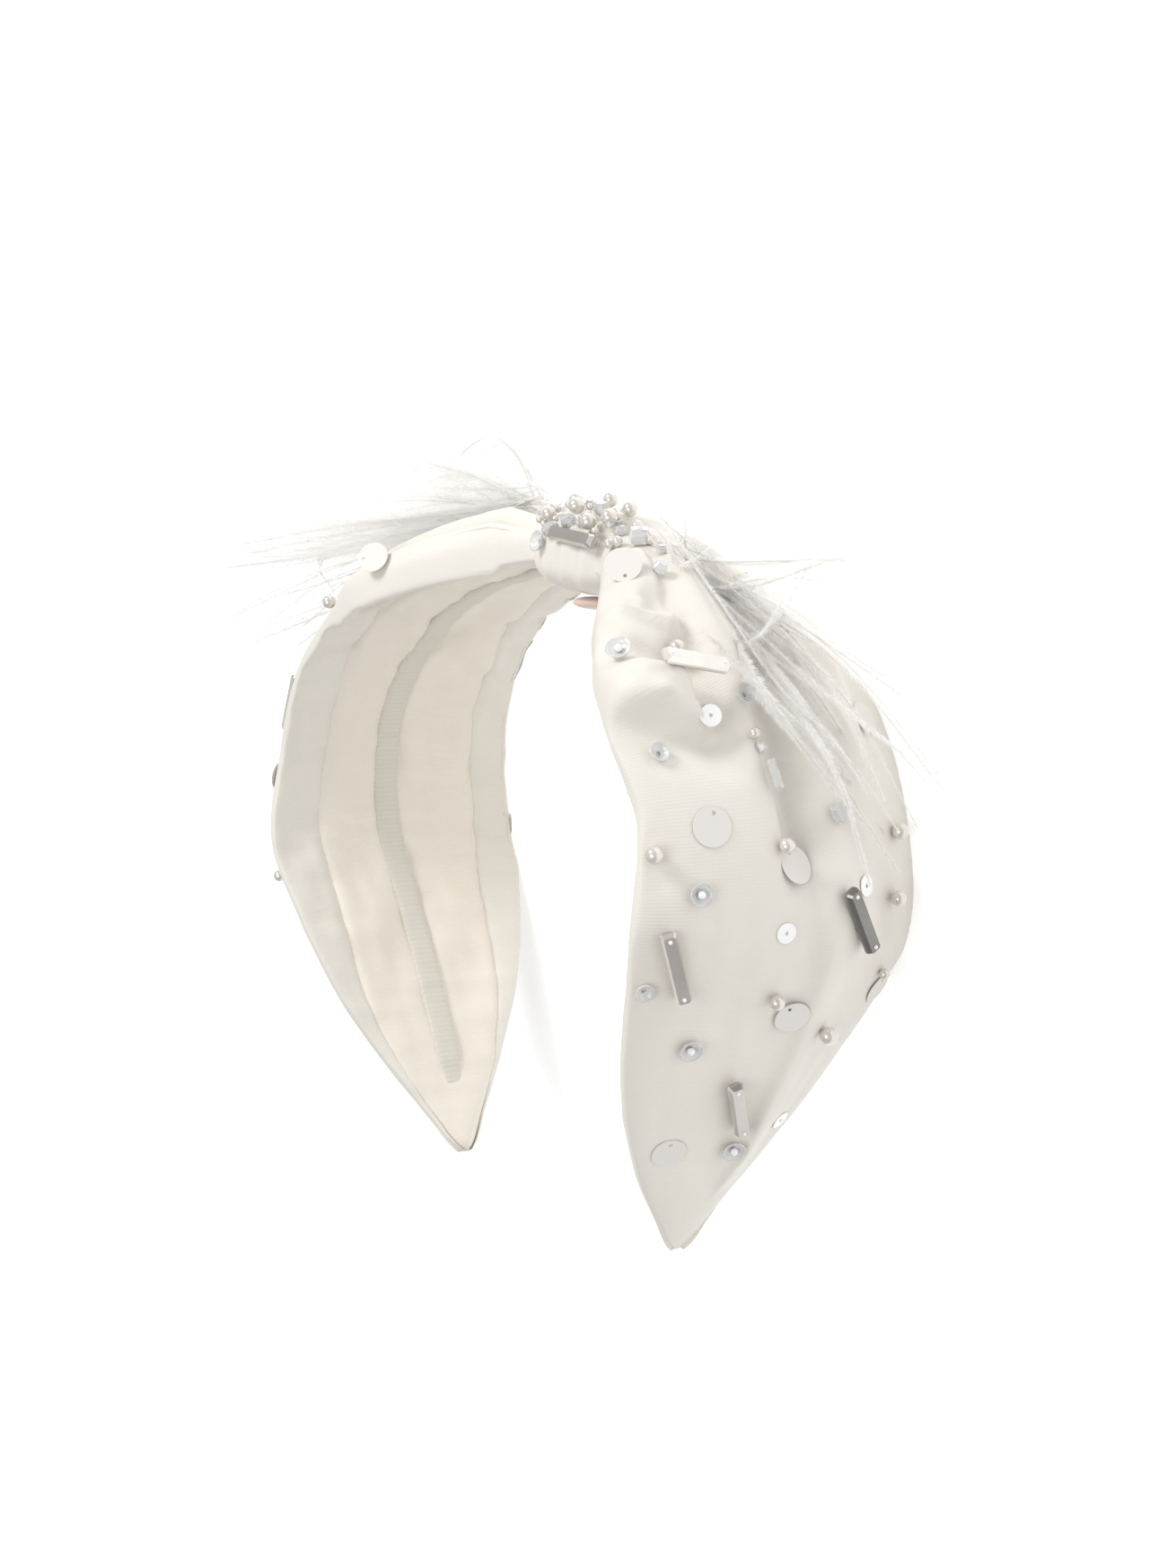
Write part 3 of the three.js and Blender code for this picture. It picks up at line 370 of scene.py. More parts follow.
def skin(u, turn, fine=True, lift=0.0):
    """Points of the band's skin; turn goes round the section from the back edge over the outer side."""
    u, turn = np.broadcast_arrays(np.asarray(u, float), np.asarray(turn, float))
    part = section_at(u)
    half, lateral, outward = part["half"], np.cos(turn), np.sin(turn) >= 0
    swell = np.abs(np.sin(turn)) ** FULLNESS
    soft = np.sqrt(swell)
    right = u > KNOT["at"]
    tables = FINE_ROWS if fine else PLAIN_ROWS
    on_right, on_left, inside = (relief(rows, u, lateral, half) for rows in tables)
    outside = np.where(right, on_right, on_left)
    if fine:
        along, across = np.abs(u) * LENGTH, lateral * half
        strands = ripple("strands", along, lateral) * (1.0 - part["opened"] + FADE["gather"])
        drift = ripple("drift_right" if right.flat[0] else "drift_left", along, across)
        edge = ripple("edge", along, turn) * (1.0 - swell)
        calm = smooth_step(1.0 - np.abs(u), *FADE["calm"])
        outside = outside + (strands + drift + ripple("rumple", along, across) + edge) * calm
        inside = inside + ripple("pucker", along, across) + ripple("sag", along, across)
        soft = np.maximum(soft, FADE["edge"])
    folds = np.where(outward, outside, inside) * part["fold_share"] * soft
    rise = np.where(outward, part["outer"], part["inner"])
    proud = PROUD * fine * smooth_step(1.0 - np.abs(u), *FADE["proud"])
    lift = lift + np.where(outward, proud, 0.0)
    height = np.where(outward, 1.0, -1.0) * (rise * swell + folds + lift) - part["dome"] * lateral**2
    spot, normal = arch_at(u)
    points = spot + normal * height[..., None]
    points[..., 1] = part["back"] + lateral * (half + proud)
    over = points @ TO_FLOOR - floor_reach + CLOTH * fine * np.clip(-np.sin(turn) / FADE["under"], 0.0, 1.0)
    return points - np.maximum(over, 0.0)[..., None] * TO_FLOOR


def edge_reach():
    """How far the back edge of the plain legs reaches towards the floor."""
    share = np.linspace(*BACK_EDGE)
    share = np.concatenate([share, -share])
    return float((skin(share, np.zeros_like(share), fine=False) @ TO_FLOOR).max())


floor_reach = edge_reach() - REST_FLATTEN


def wrap_point(along, angle, off):
    """Point on the wrap round the knot: along it from its middle, angle from the back over the top."""
    along, angle = np.broadcast_arrays(np.asarray(along, float), np.asarray(angle, float))
    spot, normal = arch_at(KNOT["at"] + along / LENGTH)
    swell = np.sign(np.sin(angle)) * np.abs(np.sin(angle)) ** FULLNESS
    rise = np.where(swell > 0, KNOT["outer"] + WRAP["clear"], WRAP["drop"])
    points = spot + normal * ((rise + off) * swell)[..., None]
    points[..., 1] = KNOT["back"] + (KNOT["half"] + WRAP["clear"] + off) * np.cos(angle)
    return points


def wrap_full(along):
    """Thickness of the wrap, fullest in its middle."""
    return WRAP["wall"] + WRAP["rim"] * (1.0 - (along / KNOT["wrap_half"]) ** 2) - WRAP["edge"]


# Turn of the worn frame into the row frame, and its shift found from the knot's box
LAY = np.array(Matrix.Rotation(-(math.pi / 2 + REST_TILT), 3, "X"))


def knot_corner():
    """Lowest corner of the wrap's solid, turned into the row frame but not shifted."""
    places = np.array(WRAP_RINGS) * (KNOT["wrap_half"] - WRAP["inset"])
    along, angle = np.meshgrid(places, np.arange(WRAP_SIDES) / WRAP_SIDES * math.tau, indexing="ij")
    points = np.stack([wrap_point(along, angle, wrap_full(along)), wrap_point(along, angle, 0.0)])
    return (points.reshape(-1, 3) @ LAY.T).min(axis=0)


SHIFT = np.array(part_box("knot_wrap")[0]) / MM - knot_corner()


def row(points):
    """Row-frame metres of points in worn millimetres."""
    return (np.asarray(points) @ LAY.T + SHIFT) * MM


def linked(name, data):
    """Object with its data, put into the scene."""
    obj = bpy.data.objects.new(name, data)
    SCENE.collection.objects.link(obj)
    return obj


def add_mesh(name, parts, smooth=True, uv=None, tones=None):
    """Object from pairs of row-frame points and faces, with a uv for each point or a painted reflection for
    each face.
    """
    verts, faces, start = [], [], 0
    for points, sides in parts:
        verts.append(points)
        faces += [tuple(start + i for i in side) for side in sides]
        start += len(points)
    mesh = bpy.data.meshes.new(name)
    mesh.from_pydata(np.concatenate(verts).tolist(), [], faces)
    mesh.polygons.foreach_set("use_smooth", np.full(len(faces), smooth))
    if uv is not None:
        corners = [corner for face in faces for corner in face]
        mesh.uv_layers.new(name="cloth").data.foreach_set("uv", uv.reshape(-1, 2)[corners].ravel())
    # Painted reflections: a lighter or darker tone for each facet, stored on the mesh
    if tones:
        mesh.attributes.new("tone", "FLOAT_COLOR", "FACE").data.foreach_set("color", np.ravel(tones))
    mesh.validate()
    return linked(name, mesh)


def grid_faces(rows, columns, loop=False, closed=False):
    """Quads of a grid: a loop joins the ends of each row, and a closed grid also its first and last row."""
    index = np.arange(rows * columns).reshape(rows, columns)
    index = np.pad(index, ((0, int(closed)), (0, int(loop or closed))), mode="wrap")
    return np.stack([index[:-1, :-1], index[:-1, 1:], index[1:, 1:], index[1:, :-1]], axis=-1).reshape(-1, 4)


def solid_mesh(*mesh, **details):
    """Object from closed parts, with their faces turned outward."""
    obj = add_mesh(*mesh, **details)
    work = bmesh.new()
    work.from_mesh(obj.data)
    bmesh.ops.recalc_face_normals(work, faces=work.faces)
    work.to_mesh(obj.data)
    work.free()
    return obj


def thicken(obj, thickness, offset):
    solid = obj.modifiers.new("cloth", "SOLIDIFY")
    solid.thickness = thickness * MM
    solid.offset = offset
    solid.use_rim = True
    return solid


# Materials
def shader_of(made):
    return made.node_tree.nodes["Principled BSDF"]


def filled(added, values):
    """A shader node with values put into its sockets or settings."""
    for key, value in values.items():
        socket = key.replace("_", " ")
        if socket in added.inputs:
            added.inputs[socket].default_value = value
        else:
            setattr(added, key, value)
    return added


def node(made, kind, **values):
    return filled(made.node_tree.nodes.new("ShaderNode" + kind), values)


def join(made, source, output, target, socket):
    made.node_tree.links.new(source.outputs[output], target.inputs[socket])


def material(name, colour, rough, **sockets):
    made = bpy.data.materials.new(name)
    made.use_nodes = True
    filled(shader_of(made), {"Base_Color": (*colour, 1.0), "Roughness": rough, **sockets})
    return made


def clouds(made, scale, detail=2.0):
    """Noise over the object."""
    noise = node(made, "TexNoise", Scale=scale, Detail=detail)
    join(made, node(made, "TexCoord"), "Object", noise, "Vector")
    return noise


def weave(made, **values):
    """Waves along the cloth's own directions."""
    wave = node(made, "TexWave", **values)
    join(made, node(made, "TexCoord"), "UV", wave, "Vector")
    return wave


def blend(made, source, output, light, shade):
    """Base colour from shade to light by a source."""
    mix = node(made, "Mix", data_type="RGBA", A=(*shade, 1.0), B=(*light, 1.0))
    join(made, source, output, mix, "Factor")
    join(made, mix, "Result", shader_of(made), "Base Color")


def bump(made, source, strength, distance):
    """Fine relief by a source."""
    raised = node(made, "Bump", Strength=strength, Distance=distance)
    join(made, source, "Fac", raised, "Height")
    join(made, raised, "Normal", shader_of(made), "Normal")
    return raised


def satin(name, light, shade, rough, sheen, thread):
    """Woven satin: slow colour drift, fine warp threads and a soft sheen."""
    made = material(name, light, rough, Sheen_Weight=sheen, Sheen_Roughness=0.45, Specular_IOR_Level=0.32)
    span = node(made, "MapRange", From_Min=0.3, From_Max=0.65)
    join(made, clouds(made, scale=28.0, detail=3.0), "Fac", span, "Value")
    blend(made, span, "Result", light, shade)
    threads = weave(made, Scale=thread, Distortion=0.6, Detail=1.0)
    warp = bump(made, threads, strength=0.08, distance=0.0002)
    slub = bump(made, clouds(made, scale=900.0), strength=0.10, distance=0.0003)
    join(made, warp, "Normal", slub, "Normal")
    return made


def grosgrain(name, light, shade):
    """Ribbed ribbon: ribs across its length."""
    made = material(name, light, rough=0.65, Sheen_Weight=0.1, Specular_IOR_Level=0.2)
    ribs = weave(made, Scale=1.0, Distortion=0.15, bands_direction="Y")
    blend(made, ribs, "Fac", light, shade)
    bump(made, ribs, strength=0.12, distance=0.0002)
    return made


def down(name, light, shade, glow, passing):
    """Thin white feather: some of the light passes through it."""
    made = material(name, light, rough=0.8, Specular_IOR_Level=0.15)
    blend(made, clouds(made, scale=160.0), "Fac", light, shade)
    behind = node(made, "BsdfTranslucent", Color=(*glow, 1.0))
    mixed = node(made, "MixShader", Fac=passing)
    join(made, shader_of(made), 0, mixed, 1)
    join(made, behind, 0, mixed, 2)
    join(made, mixed, 0, made.node_tree.nodes["Material Output"], "Surface")
    return made


def speckled(name, light, shade, rough, scale, **sockets):
    """Hard trim with a faint change of tone over its surface."""
    made = material(name, light, rough, **sockets)
    blend(made, clouds(made, scale), "Fac", light, shade)
    return made


def foiled(name):
    """Silver-backed bar: painted reflections, a lighter or darker tone for each facet, are stored on the
    mesh.
    """
    made = material(name, (0.6, 0.6, 0.58), rough=0.14, Metallic=0.45, Coat_Weight=0.6, Coat_Roughness=0.03)
    cloud = node(made, "MapRange", To_Min=0.75, To_Max=1.15)
    tint = node(made, "VectorMath", operation="MULTIPLY")
    join(made, clouds(made, scale=140.0), "Fac", cloud, "Value")
    # Painted reflection tone of each facet, with a faint random change of tone over it
    join(made, node(made, "Attribute", attribute_name="tone"), "Color", tint, 0)
    join(made, cloud, "Result", tint, 1)
    join(made, tint, 0, shader_of(made), "Base Color")
    return made


IVORY = satin("ivory_satin", (0.755, 0.725, 0.665), (0.715, 0.68, 0.615), rough=0.46, sheen=0.2, thread=90.0)
INNER = satin("inner_satin", (0.79, 0.74, 0.66), (0.755, 0.70, 0.62), rough=0.55, sheen=0.15, thread=90.0)
BLUSH = satin("blush_satin", (0.76, 0.57, 0.51), (0.70, 0.50, 0.44), rough=0.5, sheen=0.3, thread=60.0)
GROSGRAIN = grosgrain("grosgrain", (0.65, 0.62, 0.555), (0.625, 0.595, 0.53))
DOWN_TONES = 0.97 * np.array([(1.0, 0.993, 0.983), (0.97, 0.963, 0.95), (1.0, 0.993, 0.98)])
DOWN = down("feather_down", *DOWN_TONES, passing=0.55)
PAILLETTE = speckled("matte_disc", (0.74, 0.71, 0.675), (0.715, 0.685, 0.65), rough=0.45, scale=90.0,
                     Specular_IOR_Level=0.3)
WHITE = speckled("white_sequin", (0.92, 0.92, 0.92), (0.87, 0.87, 0.88), rough=0.25, scale=120.0,
                 Coat_Weight=0.4)
PEARL = speckled("champagne_pearl", (0.74, 0.705, 0.65), (0.66, 0.62, 0.565), rough=0.18, scale=300.0,
                 Metallic=0.4, Coat_Weight=0.8, Coat_Roughness=0.05)
CLEAR = speckled("clear_sequin", (0.93, 0.93, 0.92), (0.88, 0.88, 0.87), rough=0.12, scale=200.0,
                 Transmission_Weight=0.35, IOR=1.45, Coat_Weight=0.5)
CRYSTAL = speckled("cut_crystal", (0.93, 0.93, 0.93), (0.80, 0.80, 0.80), rough=0.03, scale=400.0,
                   Transmission_Weight=0.55, IOR=1.5, Coat_Weight=1.0)
FOIL = foiled("foiled_bar")


def finish_piece(obj, mat, slot, *nodes):
    obj.data.materials.clear()
    obj.data.materials.append(mat)
    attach(obj, "root")
    if nodes:
        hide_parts(*nodes)
    return obj


def area_of(points):
    """Area of a grid of worn points, in square metres."""
    a, b = points[1:, :-1] - points[:-1, :-1], points[:-1, 1:] - points[:-1, :-1]
    return float(np.linalg.norm(np.cross(a, b), axis=-1).sum()) * MM * MM


def seam_turn(u):
    return np.arccos(lerp(SEAM, TIP_SEAM, smooth_step(np.abs(u), *SEAM_CLOSES)))


def raised_skin(u, turn, height):
    """Skin moved outward by a height."""
    u = np.broadcast_to(u, turn.shape)
    return skin(u, turn) + arch_at(u)[1] * height[..., None]


def grid_object(name, points, uv_wide):
    """Sheet from a grid of worn points."""
    rows, columns = points.shape[:2]
    uv = np.stack(np.meshgrid(np.linspace(0, 1, rows), np.linspace(0, uv_wide, columns), indexing="ij"), -1)
    return add_mesh(name, [(row(points.reshape(-1, 3)), grid_faces(rows, columns))], uv=uv)


COVER = {
    "along": 240, "around": 170, "hem_dip": 0.5, "hem_narrow": 75.0, "tip_left": 0.05, "tip_thin": 0.12,
    "thin_span": 0.1,
}


def cover(name, side):
    """Satin of one leg, from the knot to the tip, and its area."""
    near_knot = KNOT["at"] + side * KNOT["gap"] / LENGTH
    u = lerp(near_knot, side, np.linspace(0.0, 1.0, COVER["along"]))[:, None]
    s = np.linspace(0.0, 1.0, COVER["around"])[None, :]
    seam = seam_turn(u)
    # The hem dips into the seam at both inner edges
    hem = np.exp(-((np.minimum(s, 1 - s) * COVER["hem_narrow"]) ** 2)) * COVER["hem_dip"]
    points = raised_skin(u, -seam + s * (math.pi + 2 * seam), hem)
    end = points[-1:]
    points = np.concatenate([points, lerp(end.mean(axis=1, keepdims=True), end, COVER["tip_left"])])
    obj = grid_object(name, points, 1.0)
    solid = thicken(obj, CLOTH, -side)
    # The cloth thins where the two sides meet in the tip
    full = obj.vertex_groups.new(name="full")
    for k, share in enumerate(np.append(np.abs(u[:, 0]), 1.0)):
        ring = list(range(k * COVER["around"], (k + 1) * COVER["around"]))
        full.add(ring, float(smooth_step(1.0 - share, 0.0, COVER["thin_span"])), "REPLACE")
    solid.vertex_group = full.name
    solid.thickness_vertex_group = COVER["tip_thin"]
    return obj, area_of(points)


PANEL = {
    "along": 200, "around": 90, "under_wrap": 1.0, "end": 0.999, "under_hem": 1.3, "widest": 0.96,
    "tuck": 1.5, "thick": 0.5, "uv_wide": 0.5,
}


def lining(name, side):
    """Plain panel inside a leg, tucked under both hems, and its area."""
    start = (KNOT["wrap_half"] - PANEL["under_wrap"]) / LENGTH
    u = (side * np.linspace(side * KNOT["at"] + start, PANEL["end"], PANEL["along"]))[:, None]
    half = section_at(u)["half"]
    seam = np.arccos(np.minimum(np.cos(seam_turn(u)) + PANEL["under_hem"] / half, PANEL["widest"]))
    s = np.linspace(0.0, 1.0, PANEL["around"])[None, :]
    inside = np.minimum(s, 1 - s) * 2 * np.cos(seam) * half
    tuck = PANEL["tuck"] * np.exp(-((inside / PANEL["tuck"]) ** 2))
    points = raised_skin(u, -seam - s * (math.pi - 2 * seam), tuck)
    obj = grid_object(name, points, PANEL["uv_wide"])
    thicken(obj, PANEL["thick"], 0.0)
    return obj, area_of(points)


# Ribbon's section: share of its half width and depth in mm
RIBBON_SECTION = [
    (-1, 0.0), (-1, 0.6), (-0.92, 0.85), (-0.5, 0.95), (0, 0.98), (0.5, 0.95), (0.92, 0.85), (1, 0.6),
    (1, 0.0),
]


def ribbon(name):
    """Grosgrain band along the middle of the inside, with small scallops on both edges."""
    r = RIBBON
    u = np.linspace(-r["end"], r["end"], r["steps"])
    part = section_at(u)
    close = smooth_step(r["end"] - np.abs(u), 0.0, r["end_span"])
    wide = np.minimum(r["width"] / 2, part["half"] * r["most"]) * lerp(r["end_wide"], 1.0, close)
    aside = -r["bow"] * np.exp(-(((np.abs(u) - r["bow_at"]) / r["bow_span"]) ** 2))
    spot, normal = arch_at(u)
    depth = np.zeros(len(u))
    for s in (-1.0, -0.5, 0.0, 0.5, 1.0):
        inner = skin(u, -np.arccos(np.clip((aside + s * wide) / part["half"], -r["edge"], r["edge"])))
        depth = np.maximum(depth, ((spot - inner) * normal).sum(axis=-1))
    window = np.ones(2 * r["even"] + 1)
    even = np.convolve(np.pad(depth, r["even"], mode="edge"), window / len(window), mode="valid")
    depth = np.maximum(even, depth) - r["sunk"]
    arc = u * LENGTH
    scallop = r["scallop"] * np.abs(np.sin(math.pi * arc / r["scallop_length"]))
    lines = []
    for share, fall in RIBBON_SECTION:
        line = spot - normal * (depth + fall * lerp(r["end_thick"], 1.0, close))[:, None]
        line[:, 1] = part["back"] + aside + share * (wide + (scallop if abs(share) == 1 else 0.0))
        lines.append(line)
    points = np.stack(lines, axis=1)
    uv = np.stack(np.broadcast_arrays(np.linspace(0, 1, len(lines)), (arc / r["rib"])[:, None]), axis=-1)
    faces = grid_faces(*points.shape[:2], loop=True)
    return solid_mesh(name, [(row(points.reshape(-1, 3)), faces)], uv=uv)


LOOP = {
    "around": 160, "across": 120, "rim_power": 6, "rim_sunk": -0.45, "inner_sunk": -0.6, "pleat": 0.45,
    "pace": 1.15, "sway": 0.8, "rough": 0.3, "rough_along": 5.0, "rough_round": 1.2, "seed": 41,
    "flat": 0.55, "uv_turn": 6.3,
}


def wrap(name):
    """Loop of satin round the knot, with soft pleats across it."""
    p = LOOP
    angle = np.linspace(0, math.tau, p["around"], endpoint=False)[:, None]
    s = np.linspace(0, 1, p["across"], endpoint=False)[None, :]
    half = KNOT["wrap_half"] - WRAP["inset"]
    place = half * np.where(s < 0.5, lerp(-1, 1, 2 * s), lerp(1, -1, 2 * s - 1))
    rim = 1 - np.abs(place / half) ** p["rim_power"]
    pleat = p["pleat"] * np.sin(place * p["pace"] + p["sway"] * np.sin(angle * 2))
    pleat = pleat + p["rough"] * waves(place / p["rough_along"], angle / p["rough_round"], p["seed"])
    # The pleats are deepest on top
    pleat = pleat * rim * lerp(p["flat"], 1.0, np.sin(angle))
    off = np.where(s < 0.5, lerp(p["rim_sunk"], wrap_full(place), rim) + pleat, p["inner_sunk"])
    points = wrap_point(place, angle, off)
    uv = np.stack(np.broadcast_arrays(angle / p["uv_turn"], s), axis=-1)
    faces = grid_faces(*off.shape, closed=True)
    return solid_mesh(name, [(row(points.reshape(-1, 3)), faces)], uv=uv)


def ball(radius, rings=16, sides=24):
    """Points and faces of a ball about the origin."""
    theta = np.linspace(0, math.pi, rings + 1)[1:-1]
    t, p = np.meshgrid(theta, np.arange(sides) / sides * math.tau, indexing="ij")
    body = np.stack([np.sin(t) * np.cos(p), np.sin(t) * np.sin(p), np.cos(t)], -1).reshape(-1, 3)
    verts = np.concatenate([body, [[0, 0, 1], [0, 0, -1]]]) * radius
    faces = list(grid_faces(rings - 1, sides, loop=True))
    top, low, start = len(body), len(body) + 1, (rings - 2) * sides
    for i in range(sides):
        j = (i + 1) % sides
        faces.append((top, i, j))
        faces.append((low, start + j, start + i))
    return verts, faces


def pad(name):
    """Soft leaf-shaped pad under the knot."""
    verts, faces = ball(1.0, rings=24, sides=40)
    angle = math.radians(PAD["angle"])
    off = wrap_full(0.0) + WRAP["seat"] + PAD["half_depth"]
    origin = wrap_point(0.0, angle, off)
    along = np.array([1.0, 0.0, 0.0])
    side = unit(wrap_point(0.0, angle + NUDGE_ANGLE, off) - origin)
    local = verts * np.array([PAD["half_length"], PAD["half_width"], PAD["half_depth"]])
    local[:, 1] *= 1.0 - PAD["leaf"] * verts[:, 0] ** 2
    return solid_mesh(name, [(row(origin + local @ np.stack([along, side, np.cross(along, side)])), faces)])


# Grid over the outer sides: arch position where it ends, steps along and steps round
OUTER_GRID = (0.98, 560, 100)


def outer_side(fine):
    """Points over the outer sides of both legs, in row-frame mm."""
    end, along, around = OUTER_GRID
    u, turn = np.meshgrid(np.linspace(-end, end, along), np.linspace(0.0, math.pi, around), indexing="ij")
    legs = [u[:, 0] < KNOT["at"], u[:, 0] > KNOT["at"]]
    return np.concatenate([row(skin(u[leg], turn[leg], fine=fine)).reshape(-1, 3) for leg in legs]) / MM


# Middle of the head, how much its height counts in telling outward, and the outer sides plain and creased
HEAD = row(np.zeros(3))
AWAY_COUNTS = np.array([1.0, 1.0, 0.3])
PLAIN, CREASED = outer_side(False), outer_side(True)
# Trims that hang forward from their stitches, in degrees, and the share of their span that they rise with it
LEAN = {"paillette_by_knot": 34.0, "cup_front_edge": 24.0, "left_paillette_rim": 40.0}
LEAN_RISE = 0.4
FORWARD = LAY @ np.array([0.85, -0.51, 0.1])
# Share of the satin's slope that a flat trim takes on, the least cosine of a slope that it follows, how far
# round the nearest point the satin counts, and how far from a disc's rim its hole lies at least
FOLLOW, LEAST_COSINE, PATCH, HOLE_INSET = 0.6, 0.6, 0.5, 0.25


def lie_on_satin(centre, out, radius, follow):
    """Foot and outward axis of a trim laid on the creased satin round a place, both in the row frame."""
    near = np.linalg.norm(PLAIN - centre / MM, axis=1)
    under = CREASED[near < max(radius, near.min() + PATCH)]
    middle = under.mean(axis=0)
    tilt = np.linalg.svd(under - middle, full_matrices=False)[2][2]
    tilt = tilt if tilt @ out > 0 else -tilt
    tilt = unit(out + follow * (tilt - out) if tilt @ out > LEAST_COSINE else out)
    aside = centre / MM - middle
    aside = aside - (aside @ tilt) * tilt
    return (middle + aside + tilt * ((under - middle) @ tilt).max()) * MM, tilt


def pose_of(name):
    """Foot and axes (long, side, outward) of a trim, its extents in mm and its hole's place."""
    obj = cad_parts[name]
    place = np.array(obj.matrix_world)
    verts = np.array([v.co for v in obj.data.vertices]) @ place[:3, :3].T + place[:3, 3]
    verts = np.unique(np.round(verts, 7), axis=0)
    middle = verts.mean(axis=0)
    axes = np.linalg.svd(verts - middle, full_matrices=False)[2]
    spans = np.array([np.ptp((verts - middle) @ axis) for axis in axes])
    axes = axes[np.argsort(-spans)]
    low = np.array([((verts - middle) @ axis).min() for axis in axes])
    high = np.array([((verts - middle) @ axis).max() for axis in axes])
    centre = middle + axes.T @ ((low + high) / 2)
    long, out = axes[0], axes[2]
    if "pearl" in name:
        out = unit(centre / MM - PLAIN[np.argmin(np.linalg.norm(PLAIN - centre / MM, axis=1))])
    away = (centre - HEAD) * AWAY_COUNTS
    if out @ away < 0:
        out = -out
    span = high - low
    flat = (verts - centre) - np.outer((verts - centre) @ out, out)
    inside = flat[np.linalg.norm(flat, axis=1) < span[0] / 2 - HOLE_INSET * MM]
    hole = 0.0
    if len(inside) and "paillette" in name:
        hole = float(np.linalg.norm(inside.mean(axis=0)) / MM)
        long = inside.mean(axis=0)
    flat_lying = any(word in name for word in ("paillette", "sequin", "cup"))
    foot, out = lie_on_satin(centre, out, span[0] / MM / 2, FOLLOW if flat_lying else 0.0)
    if name in LEAN:
        lean = math.radians(LEAN[name])
        foot = foot + out * math.sin(lean) * span[0] * LEAN_RISE
        out = out * math.cos(lean) + unit(FORWARD - (FORWARD @ out) * out) * math.sin(lean)
    long = unit(np.cross(out, FORWARD) if "pearl" in name else long - (long @ out) * out)
    return (foot, long, np.cross(out, long), out), span / MM, hole


# Rings and sides of small and tiny beads
SMALL, TINY = (10, 16), (8, 12)


def moved(shape, *offset):
    verts, faces = shape
    return verts + np.array(offset), faces


def seated(shape, pose):
    """A shape given in mm on a trim's own axes, put on its foot in the row frame."""
    verts, faces = shape
    foot, *axes = pose
    return foot + MM * (verts @ np.stack(axes)), faces


SIDES = 40
ROUND = np.arange(SIDES) / SIDES * math.tau
# Levels of a thin disc: share of the way from its hole to its rim, and height; and the hole's radius
DISC_LEVELS = [(0.0, 0.03), (0.97, 0.03), (1.0, 0.07), (1.0, 0.11), (0.97, 0.15), (0.0, 0.15)]
DISC_HOLE = 0.3


def disc_shape(radius, hole):
    """Thin disc, pierced at a place on its long axis."""
    ring = np.stack([np.cos(ROUND), np.sin(ROUND)], -1)
    inner, outer = ring * DISC_HOLE + np.array([hole, 0.0]), ring * radius
    verts = [np.column_stack([lerp(inner, outer, share), np.full(SIDES, z)]) for share, z in DISC_LEVELS]
    return np.concatenate(verts), grid_faces(len(DISC_LEVELS), SIDES, closed=True)


def cup_shape(r):
    """Small cupped sequin with a hole, turned about its axis."""
    profile = [(0.35, 0.0), (r * 0.5, 0.0), (r * 0.85, 0.5), (r, 1.05), (r - 0.16, 1.1), (r * 0.74, 0.6),
               (r * 0.45, 0.3), (0.35, 0.3)]
    verts = [np.stack([a * np.cos(ROUND), a * np.sin(ROUND), np.full(SIDES, z)], -1) for a, z in profile]
    return np.concatenate(verts), grid_faces(len(profile), SIDES, closed=True)


def bar_shape(length, width, height=1.7, corner=0.3, table=0.28, foot=0.2):
    """Faceted bar: rings of an eight-sided outline, set in at its foot and table, capped."""
    verts = []
    for inset, z in ((foot, 0.0), (0.0, 0.25 * height), (0.0, 0.5 * height), (table, height)):
        x, y, c = length / 2 - inset, width / 2 - inset, corner
        verts += [(x, y - c, z), (x - c, y, z), (c - x, y, z), (-x, y - c, z)]
        verts += [(-x, c - y, z), (c - x, -y, z), (x - c, -y, z), (x, c - y, z)]
    faces = list(grid_faces(4, 8, loop=True))
    faces += [tuple(range(7, -1, -1)), tuple(range(24, 32))]
    return np.array(verts), faces


# Painted reflections: tone of a bar's table, spread and limit of the glints on its other facets, its colour
BAR_PAINTED_REFLECTIONS = {
    "bar_front_top": 0.76, "bar_back_middle": 0.20, "bar_front_middle": 0.52, "bar_low": 0.55,
    "left_bar_top": 0.4, "left_bar_middle": 0.2, "left_bar_low": 0.4, "knot_bar": 0.42,
}
FACET_GLINT_SPREAD, BRIGHTEST_GLINT = (0.55, 1.9), 0.9
BAR_COLOUR = np.array([1.0, 0.95, 0.89])


def painted_facet_reflections(faces, name, seed):
    """Painted reflections, facet by facet: the table at the bar's listed tone, bevels painted lighter and
    darker.
    """
    chance = np.random.default_rng(seed)
    shares = [BAR_PAINTED_REFLECTIONS[name] * chance.uniform(*FACET_GLINT_SPREAD) for _ in faces[:-1]] + [BAR_PAINTED_REFLECTIONS[name]]
    return [(*(min(share, BRIGHTEST_GLINT) * BAR_COLOUR), 1.0) for share in shares]


# Groups of trims: first words of their names, look and slot
TRIMS = {
    "disc": (("paillette",), PAILLETTE, "disc"),
    "sequin": (("sequin",), WHITE, "disc"),
    "cup": (("cup",), CLEAR, "cup"),
    "stone": (("crystal", "bugle"), CRYSTAL, "stone"),
    "pearl": (("pearl",), PEARL, "pearl"),
    "bar": (("bar",), FOIL, "bar"),
}
# Size of flat trims and pearls over their solids', beads that hold cups and bars, and the first bar's seed
FLAT_OVER, PEARL_OVER = 1.02, 1.01
CUP_BEAD = {"radius": 0.62, "height": 0.85}
BAR_BEAD = {"radius": 0.34, "inset": 1.0}
BAR_SEED = 70


